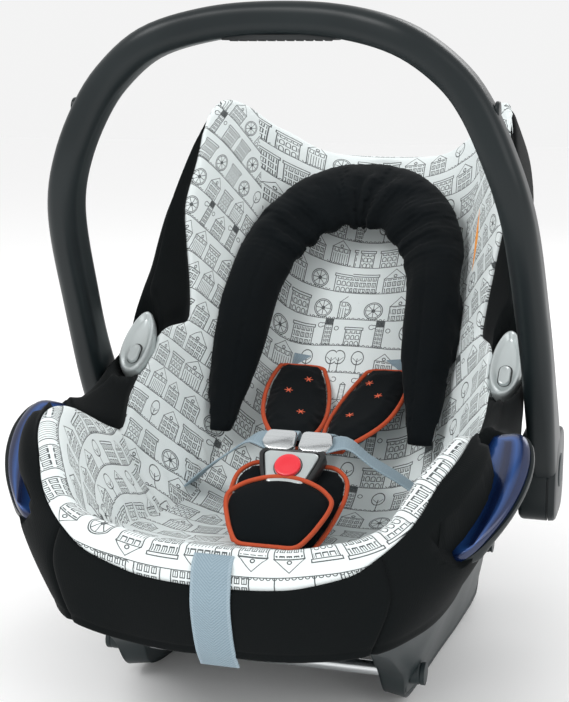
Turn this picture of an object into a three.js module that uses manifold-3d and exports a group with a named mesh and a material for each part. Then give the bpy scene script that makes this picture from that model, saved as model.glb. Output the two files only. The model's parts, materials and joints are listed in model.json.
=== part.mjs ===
// Infant car seat with a swinging carrying handle: a rocker-based plastic bucket, an energy-absorbing foam liner,
// a padded fabric inner, black outer covers, a head hugger, a three-point harness with buckle, blue vehicle-belt
// guides and handle hubs with sprung release buttons.
// Millimetres. X to the sitter's left-hand side of the drawing (viewer's right), Y to the head end, Z up.
import * as THREE from 'three';
import Module from 'manifold-3d';

const wasm = await Module();
wasm.setup();
const { Manifold, Mesh: SolidMesh } = wasm;

// ---- driving dimensions -------------------------------------------------------------------------------------------
const SHELL_WIDTH = 400; // widest part of the bucket's sides
const SHELL_LENGTH = 622; // front lip to the head end
const SHELL_HEIGHT = 475; // floor to the top of the wings
const SHELL_WALL = 3.8; // plastic wall
const COVER_WALL = 2.4; // outer fabric
const LINER_WALL = 8; // padded inner fabric
const GAP = 0.3; // clearance between touching pieces
const HANDLE_TOP = 576; // floor to the top of the carrying handle
const HANDLE_THICK = 27; // handle section, radial
const HANDLE_DEEP = 36; // handle section, front to back
const HUB_RADIUS = 38;
const HUB_OUTER = 224; // outer face of the handle hubs from the middle plane
const BAR_RADIUS = 6; // steel cross bars between the rockers
const BUCKLE_WIDTH = 62;
const STRAP_WIDTH = 25;
const STRAP_THICK = 1.8;
const PAD_THICK = 12; // shoulder pads
const HUGGER_THICK = 36; // head hugger
const HUGGER_WIDE = 56;
const BUTTON_TRAVEL = 4; // handle buttons

// ---- colours ------------------------------------------------------------------------------------------------------
const paint = (color, roughness, metalness = 0) => new THREE.MeshStandardMaterial({ color, roughness, metalness });
const DARK = paint(0x252b2c, 0.5);
const BLACK_CLOTH = paint(0x14191b, 0.95);
const WHITE_CLOTH = paint(0xeef3f2, 0.9);
const FOAM = paint(0xd8d8d2, 0.85);
const SILVER = paint(0xb9c0c0, 0.35, 0.2);
const STEEL = paint(0xb4b8ba, 0.25, 1);
const BLUE = paint(0x2f4f8f, 0.18);
const RED = paint(0xe8253a, 0.35);
const WEBBING = paint(0x8fa3ad, 0.8);
const ORANGE = paint(0xe08a2a, 0.8);

// ---- placing: nominal guide points follow the three driving sizes ---------------------------------------------------
const KX = SHELL_WIDTH / 400;
const KY = SHELL_LENGTH / 622;
const KZ = SHELL_HEIGHT / 475;
const at = (x, y, z) => new THREE.Vector3(x * KX, y * KY, z * KZ);

// Thirteen stations run round one half of the bucket, front middle to back middle.
const GUIDES = {
  spine: [[0, -232, 158], [0, -205, 148], [0, -175, 138], [0, -140, 130], [0, -100, 122], [0, -55, 116], [0, -5, 114], [0, 45, 132], [0, 100, 180], [0, 160, 240], [0, 220, 305], [0, 272, 362], [0, 318, 412]],
  crease: [[0, -240, 160], [60, -238, 162], [98, -222, 160], [118, -180, 152], [122, -130, 140], [120, -70, 130], [112, -5, 128], [106, 50, 150], [100, 110, 205], [98, 170, 265], [92, 235, 335], [55, 280, 380], [0, 322, 415]],
  rim: [[0, -256, 166], [65, -256, 170], [128, -248, 188], [170, -212, 228], [187, -150, 246], [187, -70, 232], [180, 10, 256], [175, 75, 322], [168, 125, 400], [148, 203, 475], [112, 280, 450], [62, 322, 426], [0, 334, 422]],
  mid: [[0, -268, 130], [68, -266, 132], [143, -252, 146], [190, -202, 170], [200, -140, 190], [198, -60, 190], [187, 15, 205], [183, 100, 270], [178, 180, 350], [165, 265, 410], [135, 320, 410], [70, 348, 395], [0, 354, 390]],
  hem: [[0, -255, 85], [65, -255, 87], [126, -251, 100], [159, -196, 108], [170, -120, 122], [172, -40, 135], [174, 35, 140], [174, 110, 190], [168, 190, 265], [155, 260, 330], [130, 310, 350], [70, 340, 352], [0, 347, 352]],
  low: [[0, -236, 80], [62, -236, 81], [118, -226, 84], [126, -168, 44], [124, -134, 7], [130, -35, 0], [138, 50, 0], [142, 130, 0], [135, 206, 56], [128, 262, 145], [108, 305, 228], [62, 328, 292], [0, 336, 322]],
  lowIn: [[0, -232, 79], [56, -229, 80], [98, -206, 80], [101, -160, 44], [103, -128, 8], [97, -35, 1], [96, 50, 1], [100, 128, 1], [98, 200, 59], [96, 256, 152], [88, 298, 236], [50, 323, 296], [0, 333, 321]],
  root: [[0, -228, 79], [50, -212, 80], [80, -188, 81], [88, -148, 78], [88, -104, 74], [86, -40, 70], [88, 22, 73], [90, 78, 93], [90, 134, 140], [88, 198, 204], [78, 264, 280], [42, 306, 312], [0, 330, 323]],
  belly: [[0, -224, 80], [0, -203, 80], [0, -178, 84], [0, -143, 83], [0, -100, 80], [0, -45, 76], [0, 5, 76], [0, 50, 88], [0, 100, 125], [0, 160, 185], [0, 220, 250], [0, 275, 302], [0, 326, 322]],
};
const ROLL = [11, 12, 14, 15, 15, 14, 12, 12, 14, 15, 15, 14, 13]; // radius of the padded rim roll
const STATIONS = 13;

const spline = (p0, p1, p2, p3, t) =>
  new THREE.Vector3().addScaledVector(p1, 2).addScaledVector(p2.clone().sub(p0), t)
    .addScaledVector(p0.clone().multiplyScalar(2).addScaledVector(p1, -5).addScaledVector(p2, 4).sub(p3), t * t)
    .addScaledVector(p3.clone().sub(p0).addScaledVector(p1, 3).addScaledVector(p2, -3), t * t * t).multiplyScalar(0.5);

// A guide curve as a smooth function of the station number.
function guide(name, u) {
  const list = GUIDES[name];
  const i = Math.min(Math.floor(u), STATIONS - 2);
  const get = (k) => {
    if (k < 0) { const m = at(...list[-k]); return new THREE.Vector3(-m.x, m.y, m.z); }
    if (k >= STATIONS) { const m = at(...list[2 * (STATIONS - 1) - k]); return new THREE.Vector3(-m.x, m.y, m.z); }
    return at(...list[k]);
  };
  if (name === 'spine' || name === 'belly') {
    const end = (k) => (k < 0 ? at(...list[0]).multiplyScalar(2).sub(at(...list[1])) : k >= STATIONS ? at(...list[12]).multiplyScalar(2).sub(at(...list[11])) : at(...list[k]));
    return spline(end(i - 1), end(i), end(i + 1), end(i + 2), u - i);
  }
  const p = spline(get(i - 1), get(i), get(i + 1), get(i + 2), u - i);
  // The rockers have a level landing under the middle of the seat, so that it stands still on a floor.
  p.z = Math.max(p.z, name === 'low' ? 0 : 0.4);
  return p;
}
const number = (list, u) => { const i = Math.min(Math.floor(u), STATIONS - 2); return list[i] + (list[i + 1] - list[i]) * (u - i); };

// The key points of one section of the bucket, from the middle of the pan over the rim and under to the belly.
// Key order: spine 0, crease 1, rimIn 2, crest 3, rimOut 4, mid 5, hem 6, low 7, lowIn 8, root 9, belly 10.
function section(u) {
  const crease = guide('crease', u), crest = guide('rim', u), mid = guide('mid', u);
  const a = crease.clone().sub(crest).normalize(), b = mid.clone().sub(crest).normalize();
  const bis = a.clone().add(b).normalize();
  const pin = b.clone().addScaledVector(a, -a.dot(b)).normalize().negate();
  const pout = a.clone().addScaledVector(b, -a.dot(b)).normalize().negate();
  const r = number(ROLL, u);
  const centre = crest.clone().addScaledVector(bis, r);
  return [guide('spine', u), crease, centre.clone().addScaledVector(pin, r), crest, centre.clone().addScaledVector(pout, r), mid,
    guide('hem', u), guide('low', u), guide('lowIn', u), guide('root', u), guide('belly', u)];
}

// Point on the bucket's skin: u is the station, v the key number; round above the hem, straight below it.
function skin(u, v) {
  const k = section(u);
  const i = Math.min(Math.floor(v), k.length - 2);
  const t = v - i;
  if (i >= 6) return k[i].clone().lerp(k[i + 1], t);
  const p0 = i > 0 ? k[i - 1] : new THREE.Vector3(-k[1].x, k[1].y, k[1].z);
  const p3 = k[i + 2];
  return spline(p0, k[i], k[i + 1], p3, t);
}

const SPANS = 2;
const US = Array.from({ length: (STATIONS - 1) * SPANS + 1 }, (_, i) => i / SPANS);
const VS = [0, 1, 1.5, 2, 2.5, 3, 3.5, 4, 5, 5.5, 6, 7, 8, 9, 10];

// Outward normals of the closed skin, averaged at each grid point.
const GRID = US.map((u) => VS.map((v) => skin(u, v)));
for (const column of [GRID[0], GRID[GRID.length - 1]]) for (const p of column) p.x = 0;
const NORMALS = GRID.map((column) => column.map(() => new THREE.Vector3()));
for (let i = 0; i < US.length - 1; i++)
  for (let j = 0; j < VS.length - 1; j++) {
    const quad = [[i, j], [i + 1, j], [i + 1, j + 1], [i, j + 1]];
    const [p, q, r, s] = quad.map(([a, b]) => GRID[a][b]);
    const n = r.clone().sub(p).cross(s.clone().sub(q));
    if (n.length() > 1e-9) n.normalize();
    for (const [a, b] of quad) NORMALS[a][b].add(n);
  }
for (let i = 0; i < US.length; i++)
  for (let j = 0; j < VS.length; j++) {
    const n = NORMALS[i][j];
    if (i === 0 || i === US.length - 1 || j === 0 || j === VS.length - 1) n.x = 0;
    n.normalize();
  }
// The grid's own winding gives normals that must point out of the bucket: up at the middle of the pan.
const TURN = NORMALS[10][0].z > 0 ? 1 : -1;
const shifted = (i, j, d) => GRID[i][j].clone().addScaledVector(NORMALS[i][j], d * TURN);

const solidFrom = (points, faces) => {
  const made = new Manifold(new SolidMesh({ numProp: 3, vertProperties: new Float32Array(points.flatMap((p) => [p.x, p.y, p.z])), triVerts: new Uint32Array(faces.flat()) }));
  return made;
};

// A closed solid from a list of rows; each row is a function of the column that gives one point of the +X half.
// The rows run round the section; loop says whether the last row joins the first.
function bucketSolid(rows, loop) {
  const points = [], faces = [], index = new Map();
  const put = (p) => {
    const key = [p.x, p.y, p.z].map((c) => Math.round(c * 1e4)).join();
    if (!index.has(key)) { index.set(key, points.length); points.push(p); }
    return index.get(key);
  };
  const face = (a, b, c, flip) => { if (a !== b && b !== c && a !== c) faces.push(flip ? [a, c, b] : [a, b, c]); };
  const n = rows.length;
  for (const side of [1, -1]) {
    const ids = US.map((_, i) => rows.map((f) => { const p = f(i); return put(new THREE.Vector3(Math.abs(p.x) < 1e-6 ? 0 : p.x * side, p.y, p.z)); }));
    const flip = (side < 0) !== (TURN < 0);
    for (let i = 0; i < US.length - 1; i++)
      for (let j = 0; j < (loop ? n : n - 1); j++) {
        const k = (j + 1) % n;
        const [a, b, c, d] = [ids[i][j], ids[i + 1][j], ids[i + 1][k], ids[i][k]];
        // Every layer splits its quads along the same diagonal, so that layers stay parallel.
        if (rows[k].v < rows[j].v) { face(a, b, d, flip); face(b, c, d, flip); } else { face(a, b, c, flip); face(a, c, d, flip); }
      }
  }
  return solidFrom(points, faces);
}
const rowOf = (v, f) => Object.assign(f, { v });
const rowsAt = (from, to, depth) => VS.map((v, j) => [v, j]).filter(([v]) => v >= from && v <= to).map(([v, j]) => rowOf(v, (i) => shifted(i, j, -depth(v))));
const sheet = (from, to, outer, inner) => bucketSolid([...rowsAt(from, to, outer), ...rowsAt(from, to, inner).reverse()], true);
const blend = (v, v0, v1, a, b) => (v <= v0 ? a : v >= v1 ? b : a + ((b - a) * (v - v0)) / (v1 - v0));
const linerDepth = (v) => blend(v, 2, 3, LINER_WALL, COVER_WALL);

// The whole bucket as one solid, grown or shrunk, for trimming the pieces that rest on it.
const envelope = (grow) => bucketSolid([...rowsAt(0, 10, () => -grow)], false);

// ---- small builders -----------------------------------------------------------------------------------------------
const V = (x, y, z) => new THREE.Vector3(x, y, z);
function fromGeometry(geometry) {
  const g = geometry.index ? geometry.toNonIndexed() : geometry;
  const pos = g.getAttribute('position'), points = [], ids = [], index = new Map();
  for (let i = 0; i < pos.count; i++) {
    const key = [pos.getX(i), pos.getY(i), pos.getZ(i)].map((c) => Math.round(c * 1e4)).join();
    if (!index.has(key)) { index.set(key, points.length); points.push(V(pos.getX(i), pos.getY(i), pos.getZ(i))); }
    ids.push(index.get(key));
  }
  const faces = [];
  for (let i = 0; i < ids.length; i += 3) if (ids[i] !== ids[i + 1] && ids[i + 1] !== ids[i + 2] && ids[i] !== ids[i + 2]) faces.push([ids[i], ids[i + 1], ids[i + 2]]);
  return solidFrom(points, faces);
}
function toGeometry(solid) {
  const m = solid.getMesh(), g = new THREE.BufferGeometry();
  const p = new Float32Array(m.numVert * 3);
  for (let i = 0; i < m.numVert; i++) for (let k = 0; k < 3; k++) p[i * 3 + k] = m.vertProperties[i * m.numProp + k];
  g.setAttribute('position', new THREE.BufferAttribute(p, 3));
  g.setIndex(new THREE.BufferAttribute(new Uint32Array(m.triVerts), 1));
  const flat = g.toNonIndexed();
  flat.computeVertexNormals();
  return flat;
}
// Round bar along X from x0 to x1 about (y, z).
const barX = (x0, x1, y, z, r, sides = 20) => fromGeometry(new THREE.CylinderGeometry(r, r, Math.abs(x1 - x0), sides).rotateZ(Math.PI / 2).translate((x0 + x1) / 2, y, z));
const box = (x0, x1, y0, y1, z0, z1) => fromGeometry(new THREE.BoxGeometry(x1 - x0, y1 - y0, z1 - z0).translate((x0 + x1) / 2, (y0 + y1) / 2, (z0 + z1) / 2));
// A flat outline (list of [a, b]) made thick along its third axis and set on a frame of origin and axes.
function plate(outline, thick, origin, ax, ay, from = 0, bevel = 0) {
  const shape = new THREE.Shape(outline.map(([a, b]) => new THREE.Vector2(a, b)));
  const g = new THREE.ExtrudeGeometry(shape, bevel ? { depth: thick - 2 * bevel, bevelEnabled: true, bevelThickness: bevel, bevelSize: bevel, bevelOffset: -bevel, bevelSegments: 1 } : { depth: thick, bevelEnabled: false });
  g.translate(0, 0, from + bevel);
  const az = ax.clone().cross(ay).normalize();
  g.applyMatrix4(new THREE.Matrix4().makeBasis(ax, ay, az).setPosition(origin));
  return fromGeometry(g);
}
const oval = (a, b, n = 28, egg = 0, turn = 0) => Array.from({ length: n }, (_, i) => { const t = (i / n) * Math.PI * 2 + turn; return [a * Math.cos(t) * (1 - egg * Math.sin(t)), b * Math.sin(t)]; });
const pill = (w, h, n = 6) => {
  const r = w / 2, out = [];
  for (let i = 0; i <= n; i++) { const t = (i / n) * Math.PI; out.push([r * Math.cos(t), h / 2 - r + r * Math.sin(t)]); }
  for (let i = 0; i <= n; i++) { const t = Math.PI + (i / n) * Math.PI; out.push([r * Math.cos(t), -h / 2 + r + r * Math.sin(t)]); }
  return out;
};
// A closed sweep: frames give centre, side and up vectors; ring gives the section at each frame.
function sweep(frames, ring) {
  const points = [], faces = [], m = ring(0, 0).length, n = frames.length;
  frames.forEach((f, i) => ring(i, i / (n - 1)).forEach(([a, b]) => points.push(f.c.clone().addScaledVector(f.s, a).addScaledVector(f.u, b))));
  for (let i = 0; i < n - 1; i++) for (let j = 0; j < m; j++) {
    const k = (j + 1) % m, p = i * m + j, q = i * m + k, r = (i + 1) * m + k, s = (i + 1) * m + j;
    faces.push([p, q, r], [p, r, s]);
  }
  const c0 = points.push(frames[0].c.clone()) - 1, c1 = points.push(frames[n - 1].c.clone()) - 1;
  for (let j = 0; j < m; j++) { const k = (j + 1) % m; faces.push([c0, k, j], [c1, (n - 1) * m + j, (n - 1) * m + k]); }
  let s = solidFrom(points, faces);
  if (s.volume() < 0) s = solidFrom(points, faces.map(([a, b, c]) => [a, c, b]));
  return s;
}
// Frames along a smooth line through points, side vectors kept near the one given.
function framesAlong(list, count, side) {
  const curve = new THREE.CatmullRomCurve3(list, false, 'centripetal');
  return Array.from({ length: count }, (_, i) => {
    const t = i / (count - 1), c = curve.getPointAt(t), tan = curve.getTangentAt(t);
    const want = typeof side === 'function' ? side(t, c, tan) : side;
    const s = want.clone().addScaledVector(tan, -want.dot(tan)).normalize();
    return { c, s, u: tan.clone().cross(s).normalize(), t: tan };
  });
}
const rounded = (w, h, r, n = 2) => {
  const out = [];
  [[1, 1, 0], [-1, 1, 1], [-1, -1, 2], [1, -1, 3]].forEach(([sx, sy, q]) => { for (let i = 0; i <= n; i++) { const t = ((q + i / n) * Math.PI) / 2; out.push([sx * (w / 2 - r) + r * Math.cos(t), sy * (h / 2 - r) + r * Math.sin(t)]); } });
  return out;
};
const flat = (w, h) => [[w / 2, h / 2], [-w / 2, h / 2], [-w / 2, -h / 2], [w / 2, -h / 2]];
const mirrored = (solid) => solid.mirror([1, 0, 0]);
const joined = (list) => Manifold.union(list);
const cut = (solid, ...tools) => tools.reduce((s, t) => s.subtract(t), solid);

const group = new THREE.Group();
group.name = 'infant_car_seat';
const crowd = [];
function add(name, solid, material) {
  const bodies = solid.decompose().sort((a, b) => b.volume() - a.volume());
  const mesh = new THREE.Mesh(toGeometry(bodies[0]), material);
  mesh.name = name;
  group.add(mesh);
  crowd.push([name, bodies.length, bodies.length > 1 ? bodies[1].volume() : 0]);
}
function pair(name, solid, material) {
  add(name + '_right', solid, material);
  add(name + '_left', mirrored(solid), material);
}

// ---- hub positions ------------------------------------------------------------------------------------------------
const HUB = at(0, 76, 155);
const HUB_IN = HUB_OUTER - 24.7; // inner face of the handle hub
const BOSS_OUT = HUB_OUTER - 17.3; // end of the shell boss the hub turns on
const BOSS_IN = HUB_OUTER - 60;
const hubBar = (x0, x1, r, sides = 28) => barX(x0, x1, HUB.y, HUB.z, r, sides);

// ---- release bezels on the wing rims --------------------------------------------------------------------------------
const BEZEL = at(177, 31, 261);
const bezelUp = V(0, 59 * KY, 50 * KZ).normalize();
const bezelSide = V(1, 0, 0);
const bezelPlate = (grow, from, thick, bevel = 0) => plate(oval(14.5 + grow, 37 + grow, 28, 0.16), thick, BEZEL, bezelSide, bezelUp, from, bevel);
const bezelPocket = bezelPlate(GAP, -9 - GAP, 60);

// ---- cross bars -----------------------------------------------------------------------------------------------------
const FRONT_BAR = at(0, -140, 38);
const REAR_BAR = at(0, 112, 66);
const bars = (r, x) => [FRONT_BAR, REAR_BAR].map((p) => barX(-x, x, p.y, p.z, r, 24));

// ---- adjuster: a clamp box let into the front lip ---------------------------------------------------------------------
const ADJ = at(0, -214, 114);
const pocketAdjuster = box(-24 - GAP, 24 + GAP, ADJ.y - 20 - GAP, ADJ.y + 16 + GAP, ADJ.z - 14 - GAP, ADJ.z + 60);

// ---- the bucket: shell, foam, inner fabric and outer fabric -----------------------------------------------------------
const both = (s) => joined([s, mirrored(s)]);
const outerDepth = () => COVER_WALL + GAP;
const innerDepth = () => COVER_WALL + GAP + SHELL_WALL;
const boss = hubBar(BOSS_IN, BOSS_OUT, 26, 64);
const bossRecess = hubBar(BOSS_IN + 14, BOSS_OUT + 20, 19);
let shell = sheet(3.5, 10, outerDepth, innerDepth);
shell = cut(joined([shell, boss, mirrored(boss)]), bossRecess, mirrored(bossRecess), ...bars(BAR_RADIUS + GAP, 160), both(bezelPocket));
add('seat_shell', shell, DARK);

const foamDepth = (v) => (v < 3.5 ? linerDepth(v) + 2 * GAP : innerDepth() + GAP);
const foamRows = VS.map((v, j) => [v, j]).filter(([v]) => v <= 6 || v >= 9).map(([v, j]) => rowOf(v, (i) => shifted(i, j, -foamDepth(v))));
let foam = bucketSolid(foamRows, false);
const foamPocket = joined([hubBar(BOSS_IN - GAP, BOSS_OUT, 26 + GAP), bezelPocket]);
foam = cut(foam, foamPocket, mirrored(foamPocket), pocketAdjuster);
add('foam_bucket', foam, FOAM);

// White and black fabric meet on a seam that dips inside the rim beside the hips and climbs the wings.
const SEAM = [[0, 4.6], [1, 4.5], [1.6, 4.25], [1.85, 3.9], [2.35, 3.3], [2.85, 2.65], [3.4, 2.5], [4, 2.1], [4.65, 1.9], [5.3, 1.65], [5.6, 1.85], [6.2, 1.95], [6.75, 1.8], [7.5, 1.55], [7.8, 1.7], [7.95, 1.95], [8.5, 2.05], [9.05, 2.9], [9.7, 3.4], [10.55, 3.9], [12, 3.7]];
function seamV(u) {
  const k = Math.max(0, SEAM.findIndex(([s]) => s > u) === -1 ? SEAM.length - 2 : SEAM.findIndex(([s]) => s > u) - 1);
  const [[u0, v0], [u1, v1]] = [SEAM[k], SEAM[k + 1]];
  return v0 + ((v1 - v0) * (u - u0)) / (u1 - u0);
}
// Everything on the white side of the seam, as a patch across the fabric: rows past the seam fold onto it.
function whiteZone(grow) {
  const onRows = (d) => VS.filter((v) => v <= 6).map((v) => rowOf(v, (i) => {
    const w = Math.min(v, seamV(US[i]) + grow);
    let j = 0; while (j < VS.length - 2 && VS[j + 1] < w) j++;
    return shifted(i, j, d).lerp(shifted(i, j + 1, d), (w - VS[j]) / (VS[j + 1] - VS[j]));
  }));
  return bucketSolid([...onRows(2), ...onRows(-LINER_WALL - 1.2).reverse()], true);
}
const skinSheet = sheet(0, 6, () => 0, linerDepth);
const hubCut = joined([hubBar(BOSS_IN, HUB_OUTER, 26 + GAP), bezelPocket]);
const underFabric = sheet(3.5, 10, () => COVER_WALL + GAP / 6, innerDepth);
const liner = cut(skinSheet.intersect(whiteZone(0)), bezelPocket, mirrored(bezelPocket), underFabric);
add('seat_liner', liner, WHITE_CLOTH);
const black = cut(skinSheet, whiteZone(0.03), hubCut, mirrored(hubCut));
const front = 124 * KX;
add('front_cover', black.intersect(box(-front + GAP / 2, front - GAP / 2, -400, -150 * KY, 0, 400)), BLACK_CLOTH);
const sideZone = joined([box(GAP / 2, 400, -150 * KY, 600, 0, 700), box(front + GAP / 2, 400, -400, -149 * KY, 0, 700)]);
pair('side_cover', cut(black.intersect(sideZone), underFabric, whiteZone(0).translate([GAP, GAP / 2, -GAP / 2]), whiteZone(0).translate([GAP / 2, GAP, GAP / 2])), BLACK_CLOTH);

const onBucket = envelope(GAP);
const onShell = envelope(GAP - COVER_WALL - GAP);

// ---- head hugger ------------------------------------------------------------------------------------------------------
const huggerPath = [[-98, 50, 178], [-105, 82, 216], [-104, 118, 262], [-99, 160, 312], [-82, 211, 357], [-46, 249, 387], [0, 263, 395], [46, 249, 387], [82, 211, 357], [99, 160, 312], [104, 118, 262], [105, 82, 216], [98, 50, 178]].map((p) => at(...p));
const face = V(0, -0.72, 0.69);
const huggerFrames = framesAlong(huggerPath, 25, (t, c, tan) => tan.clone().cross(face));
const hugger = sweep(huggerFrames, (i, t) => {
  const end = Math.min(t, 1 - t) * 14, k = Math.min(1, 0.35 + 0.65 * Math.sqrt(Math.min(1, end))), top = 1 + 0.2 * Math.exp(-((t - 0.5) ** 2) / 0.03);
  return Array.from({ length: 10 }, (_, j) => { const a = (j / 10) * Math.PI * 2; return [(HUGGER_WIDE / 2) * k * top * Math.cos(a), (HUGGER_THICK / 2) * k * Math.sin(a)]; });
});
add('head_hugger', hugger.subtract(onBucket), BLACK_CLOTH);

// ---- harness ----------------------------------------------------------------------------------------------------------
// Buckle frame: the red button's face centre, the way up the pad, and out of its face.
const BUCKLE = at(0, -63, 180);
const bUp = V(0, 0.8, 0.6), bOut = V(0, -0.6, 0.8), bSide = V(1, 0, 0);
const inBuckle = (a, s, n) => BUCKLE.clone().addScaledVector(bSide, a).addScaledVector(bUp, s).addScaledVector(bOut, n);
const bPlate = (outline, n0, n1, bevel = 0) => plate(outline, n1 - n0, BUCKLE, bSide, bUp, n0, bevel);
const W = BUCKLE_WIDTH / 2;
const bodyOutline = [[-W, 16], [-W + 3, 21], [W - 3, 21], [W, 16], [W - 4, 0], [W - 12, -22], [-W + 12, -22], [-W + 4, 0]];
const faceOutline = [[-W + 6, 14], [-W + 10, 17], [W - 10, 17], [W - 6, 14], [W - 10, 0], [W - 15, -18], [-W + 15, -18], [-W + 10, 0]];
const buttonHole = bPlate(oval(12 + GAP, 12 + GAP, 32), -8, 10);
const faceRecess = bPlate(faceOutline.map(([a, b]) => [a * 1.012, b * 1.014]), -2.8 - GAP, 10);
const tongueSlot = (x) => bPlate([[x - 9 - GAP, 8], [x + 9 + GAP, 8], [x + 9 + GAP, 40], [x - 9 - GAP, 40]], -10 - GAP, -7 + GAP);
add('buckle_body', cut(bPlate(bodyOutline, -13, -1, 1.5), faceRecess, buttonHole, tongueSlot(15), tongueSlot(-15)), DARK);
add('buckle_face', cut(bPlate(faceOutline, -2.8, 0.4), buttonHole), SILVER);
add('buckle_button', bPlate(oval(12, 12, 32), -4, 1.6, 0.8), RED);
const tongue = joined([
  bPlate([[6.3, 8.5], [23.7, 8.5], [23.7, 24], [6.3, 24]], -10, -7),
  bPlate([[1.5, 23.5], [29, 23.5], [33, 30], [30, 45], [2.5, 45]], -10.4, -6.6, 0.6),
]);
pair('tongue', tongue, STEEL);

// Crotch pad: a rear pad behind the buckle and a pocket in front of its lower half.
const padHalf = [[16, -84], [30, -66], [46, -38], [53, -12], [50, 6], [38, 16]];
const padOutline = [...padHalf, ...padHalf.map(([a, b]) => [-a, b]).reverse()];
const pocketHalf = [[16, -84], [29, -66], [45, -40], [47, -32], [34, -20], [18, -13.5], [0, -11.5]];
const pocketOutline = [...pocketHalf, ...pocketHalf.slice(0, -1).map(([a, b]) => [-a, b]).reverse()];
const bucklePart = bPlate(bodyOutline.map(([a, b]) => [a * 1.02, b * 1.03]), -13 - GAP, 14);
const strapBack = bPlate([[-19, -150], [19, -150], [19, 21], [-19, 21]], -15.4 - GAP, -13.2);
add('crotch_pad', cut(bPlate(padOutline, -26, -13 - GAP, 3), onBucket, strapBack), BLACK_CLOTH);
add('crotch_pocket', cut(bPlate(pocketOutline, -13, 5, 3), bucklePart, onBucket), BLACK_CLOTH);
const strapRing = (w) => () => flat(w, STRAP_THICK);
// Crotch strap: from the pan up the back of the buckle.
add('crotch_strap', cut(bPlate([[-18, -120], [18, -120], [18, 20], [-18, 20]], -15.3, -13.4), onBucket), WEBBING);

// Shoulder pads and straps.
const padFrames = framesAlong([at(45, 143, 224), at(40, 110, 207), at(33, 72, 192), at(25, 34, 181), at(21, 12, 175)], 9, V(1, -0.2, 0.1));
const shoulderPad = sweep(padFrames, (i, t) => {
  const w = 61 * (t < 0.5 ? 0.62 + 0.38 * Math.sqrt(1 - (1 - Math.min(1, t / 0.3)) ** 2) : 1 - 0.36 * Math.max(0, (t - 0.62) / 0.38));
  return rounded(w, PAD_THICK * (0.6 + 0.4 * Math.sin(Math.PI * t)), 3, 1);
});
const middleCut = box(-200, 0.4, -200, 400, 0, 600);
pair('shoulder_pad', cut(shoulderPad, onBucket, middleCut), BLACK_CLOTH);
const strapLow = STRAP_THICK / 2 + PAD_THICK / 2 + GAP;
const strapLine = [padFrames[0].c.clone().addScaledVector(V(0, 0.8, 0.52), 16), ...padFrames.filter((_, i) => i % 2 === 0).map((f) => f.c.clone().addScaledVector(f.u, f.u.z > 0 ? -strapLow : strapLow)), inBuckle(16, 50, -15), inBuckle(16, 41, -12.4)];
const shoulderStrap = sweep(framesAlong(strapLine, 16, V(1, -0.1, 0)), strapRing(STRAP_WIDTH));
pair('shoulder_strap', cut(shoulderStrap, onBucket, shoulderPad, box(-200, 0.4, -300, 400, 0, 600)), WEBBING);

// Lap straps: from the tongues out and down to the crease.
const lapLine = [inBuckle(24, 34, -12.4), inBuckle(42, 40, -13), at(66, -22, 178), at(92, -8, 158), at(116, 4, 136), at(126, 8, 126)];
const lapStrap = sweep(framesAlong(lapLine, 11, (t) => V(-0.35, 0.9, 0.2)), strapRing(STRAP_WIDTH));
pair('lap_strap', cut(lapStrap, onBucket, shoulderStrap, bPlate([[-70, -60], [70, -60], [70, 60], [-70, 60]], -11.3, 6), bPlate([[-60, -90], [60, -90], [60, 22], [-60, 22]], -30, 6)), WEBBING);

// Front adjuster: clamp box, cam lever and the hanging webbing tail.
const clamp = cut(box(-24, 24, ADJ.y - 20, ADJ.y + 16, ADJ.z - 14, ADJ.z + 12), box(-20, 20, ADJ.y - 16, ADJ.y + 40, ADJ.z - 10, ADJ.z + 30), barX(-30, 30, ADJ.y - 6, ADJ.z + 2, 2.08, 20));
add('adjuster_housing', clamp, DARK);
add('adjuster_pin', barX(-24, 24, ADJ.y - 6, ADJ.z + 2, 2, 20), STEEL);
const lever = cut(joined([barX(-18, 18, ADJ.y - 6, ADJ.z + 2, 5, 24), box(-18, 18, ADJ.y - 6, ADJ.y + 12, ADJ.z + 2, ADJ.z + 6)]), barX(-30, 30, ADJ.y - 6, ADJ.z + 2, 2.08, 20));
add('adjuster_lever', lever, SILVER);
const tailLine = [at(0, -256, 165.5), at(0, -263, 160), at(0, -266, 148), at(0, -268, 132), at(0, -264.5, 112), at(0, -256.5, 89), at(0, -247, 74)].map((p, i) => p.add(V(0, -1.6, i === 0 ? 2.2 : 0.6)));
add('adjuster_strap', cut(sweep(framesAlong(tailLine, 13, V(1, 0, 0)), strapRing(37)), onBucket), WEBBING);

// ---- carrying handle --------------------------------------------------------------------------------------------------
const KH = (HANDLE_TOP - HUB.z - 14) / (562 - 158);
const KW = HUB_OUTER / 224;
const arch = [[0, -92, 562.5], [60, -96, 558], [109, -104, 543], [144, -100, 517], [162, -100, 494], [182, -100, 453], [196, -90, 409], [206, -46, 318], [211, 2, 229], [211.3, 47, 172], [211.3, 62, 158]]
  .map(([x, y, z]) => V(x * KW, HUB.y + (y - 62) * KH, HUB.z + (z - 158) * KH));
const archLine = [...arch.slice(1).reverse().map((p) => V(-p.x, p.y, p.z)), ...arch];
const archFrames = framesAlong(archLine, 37, (t, c, tan) => V(-tan.z, 0, tan.x));
const armRing = (i, t) => {
  const z = archFrames[i].c.z, k = Math.min(1, Math.max(0, (300 - z) / 140));
  return rounded(HANDLE_THICK + (24.4 - HANDLE_THICK) * k, HANDLE_DEEP + 14 * k, 9 - 3 * k, 1);
};
const hubDisc = hubBar(HUB_IN, HUB_OUTER, HUB_RADIUS);
let handle = joined([sweep(archFrames, armRing), hubDisc, mirrored(hubDisc)]);
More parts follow.
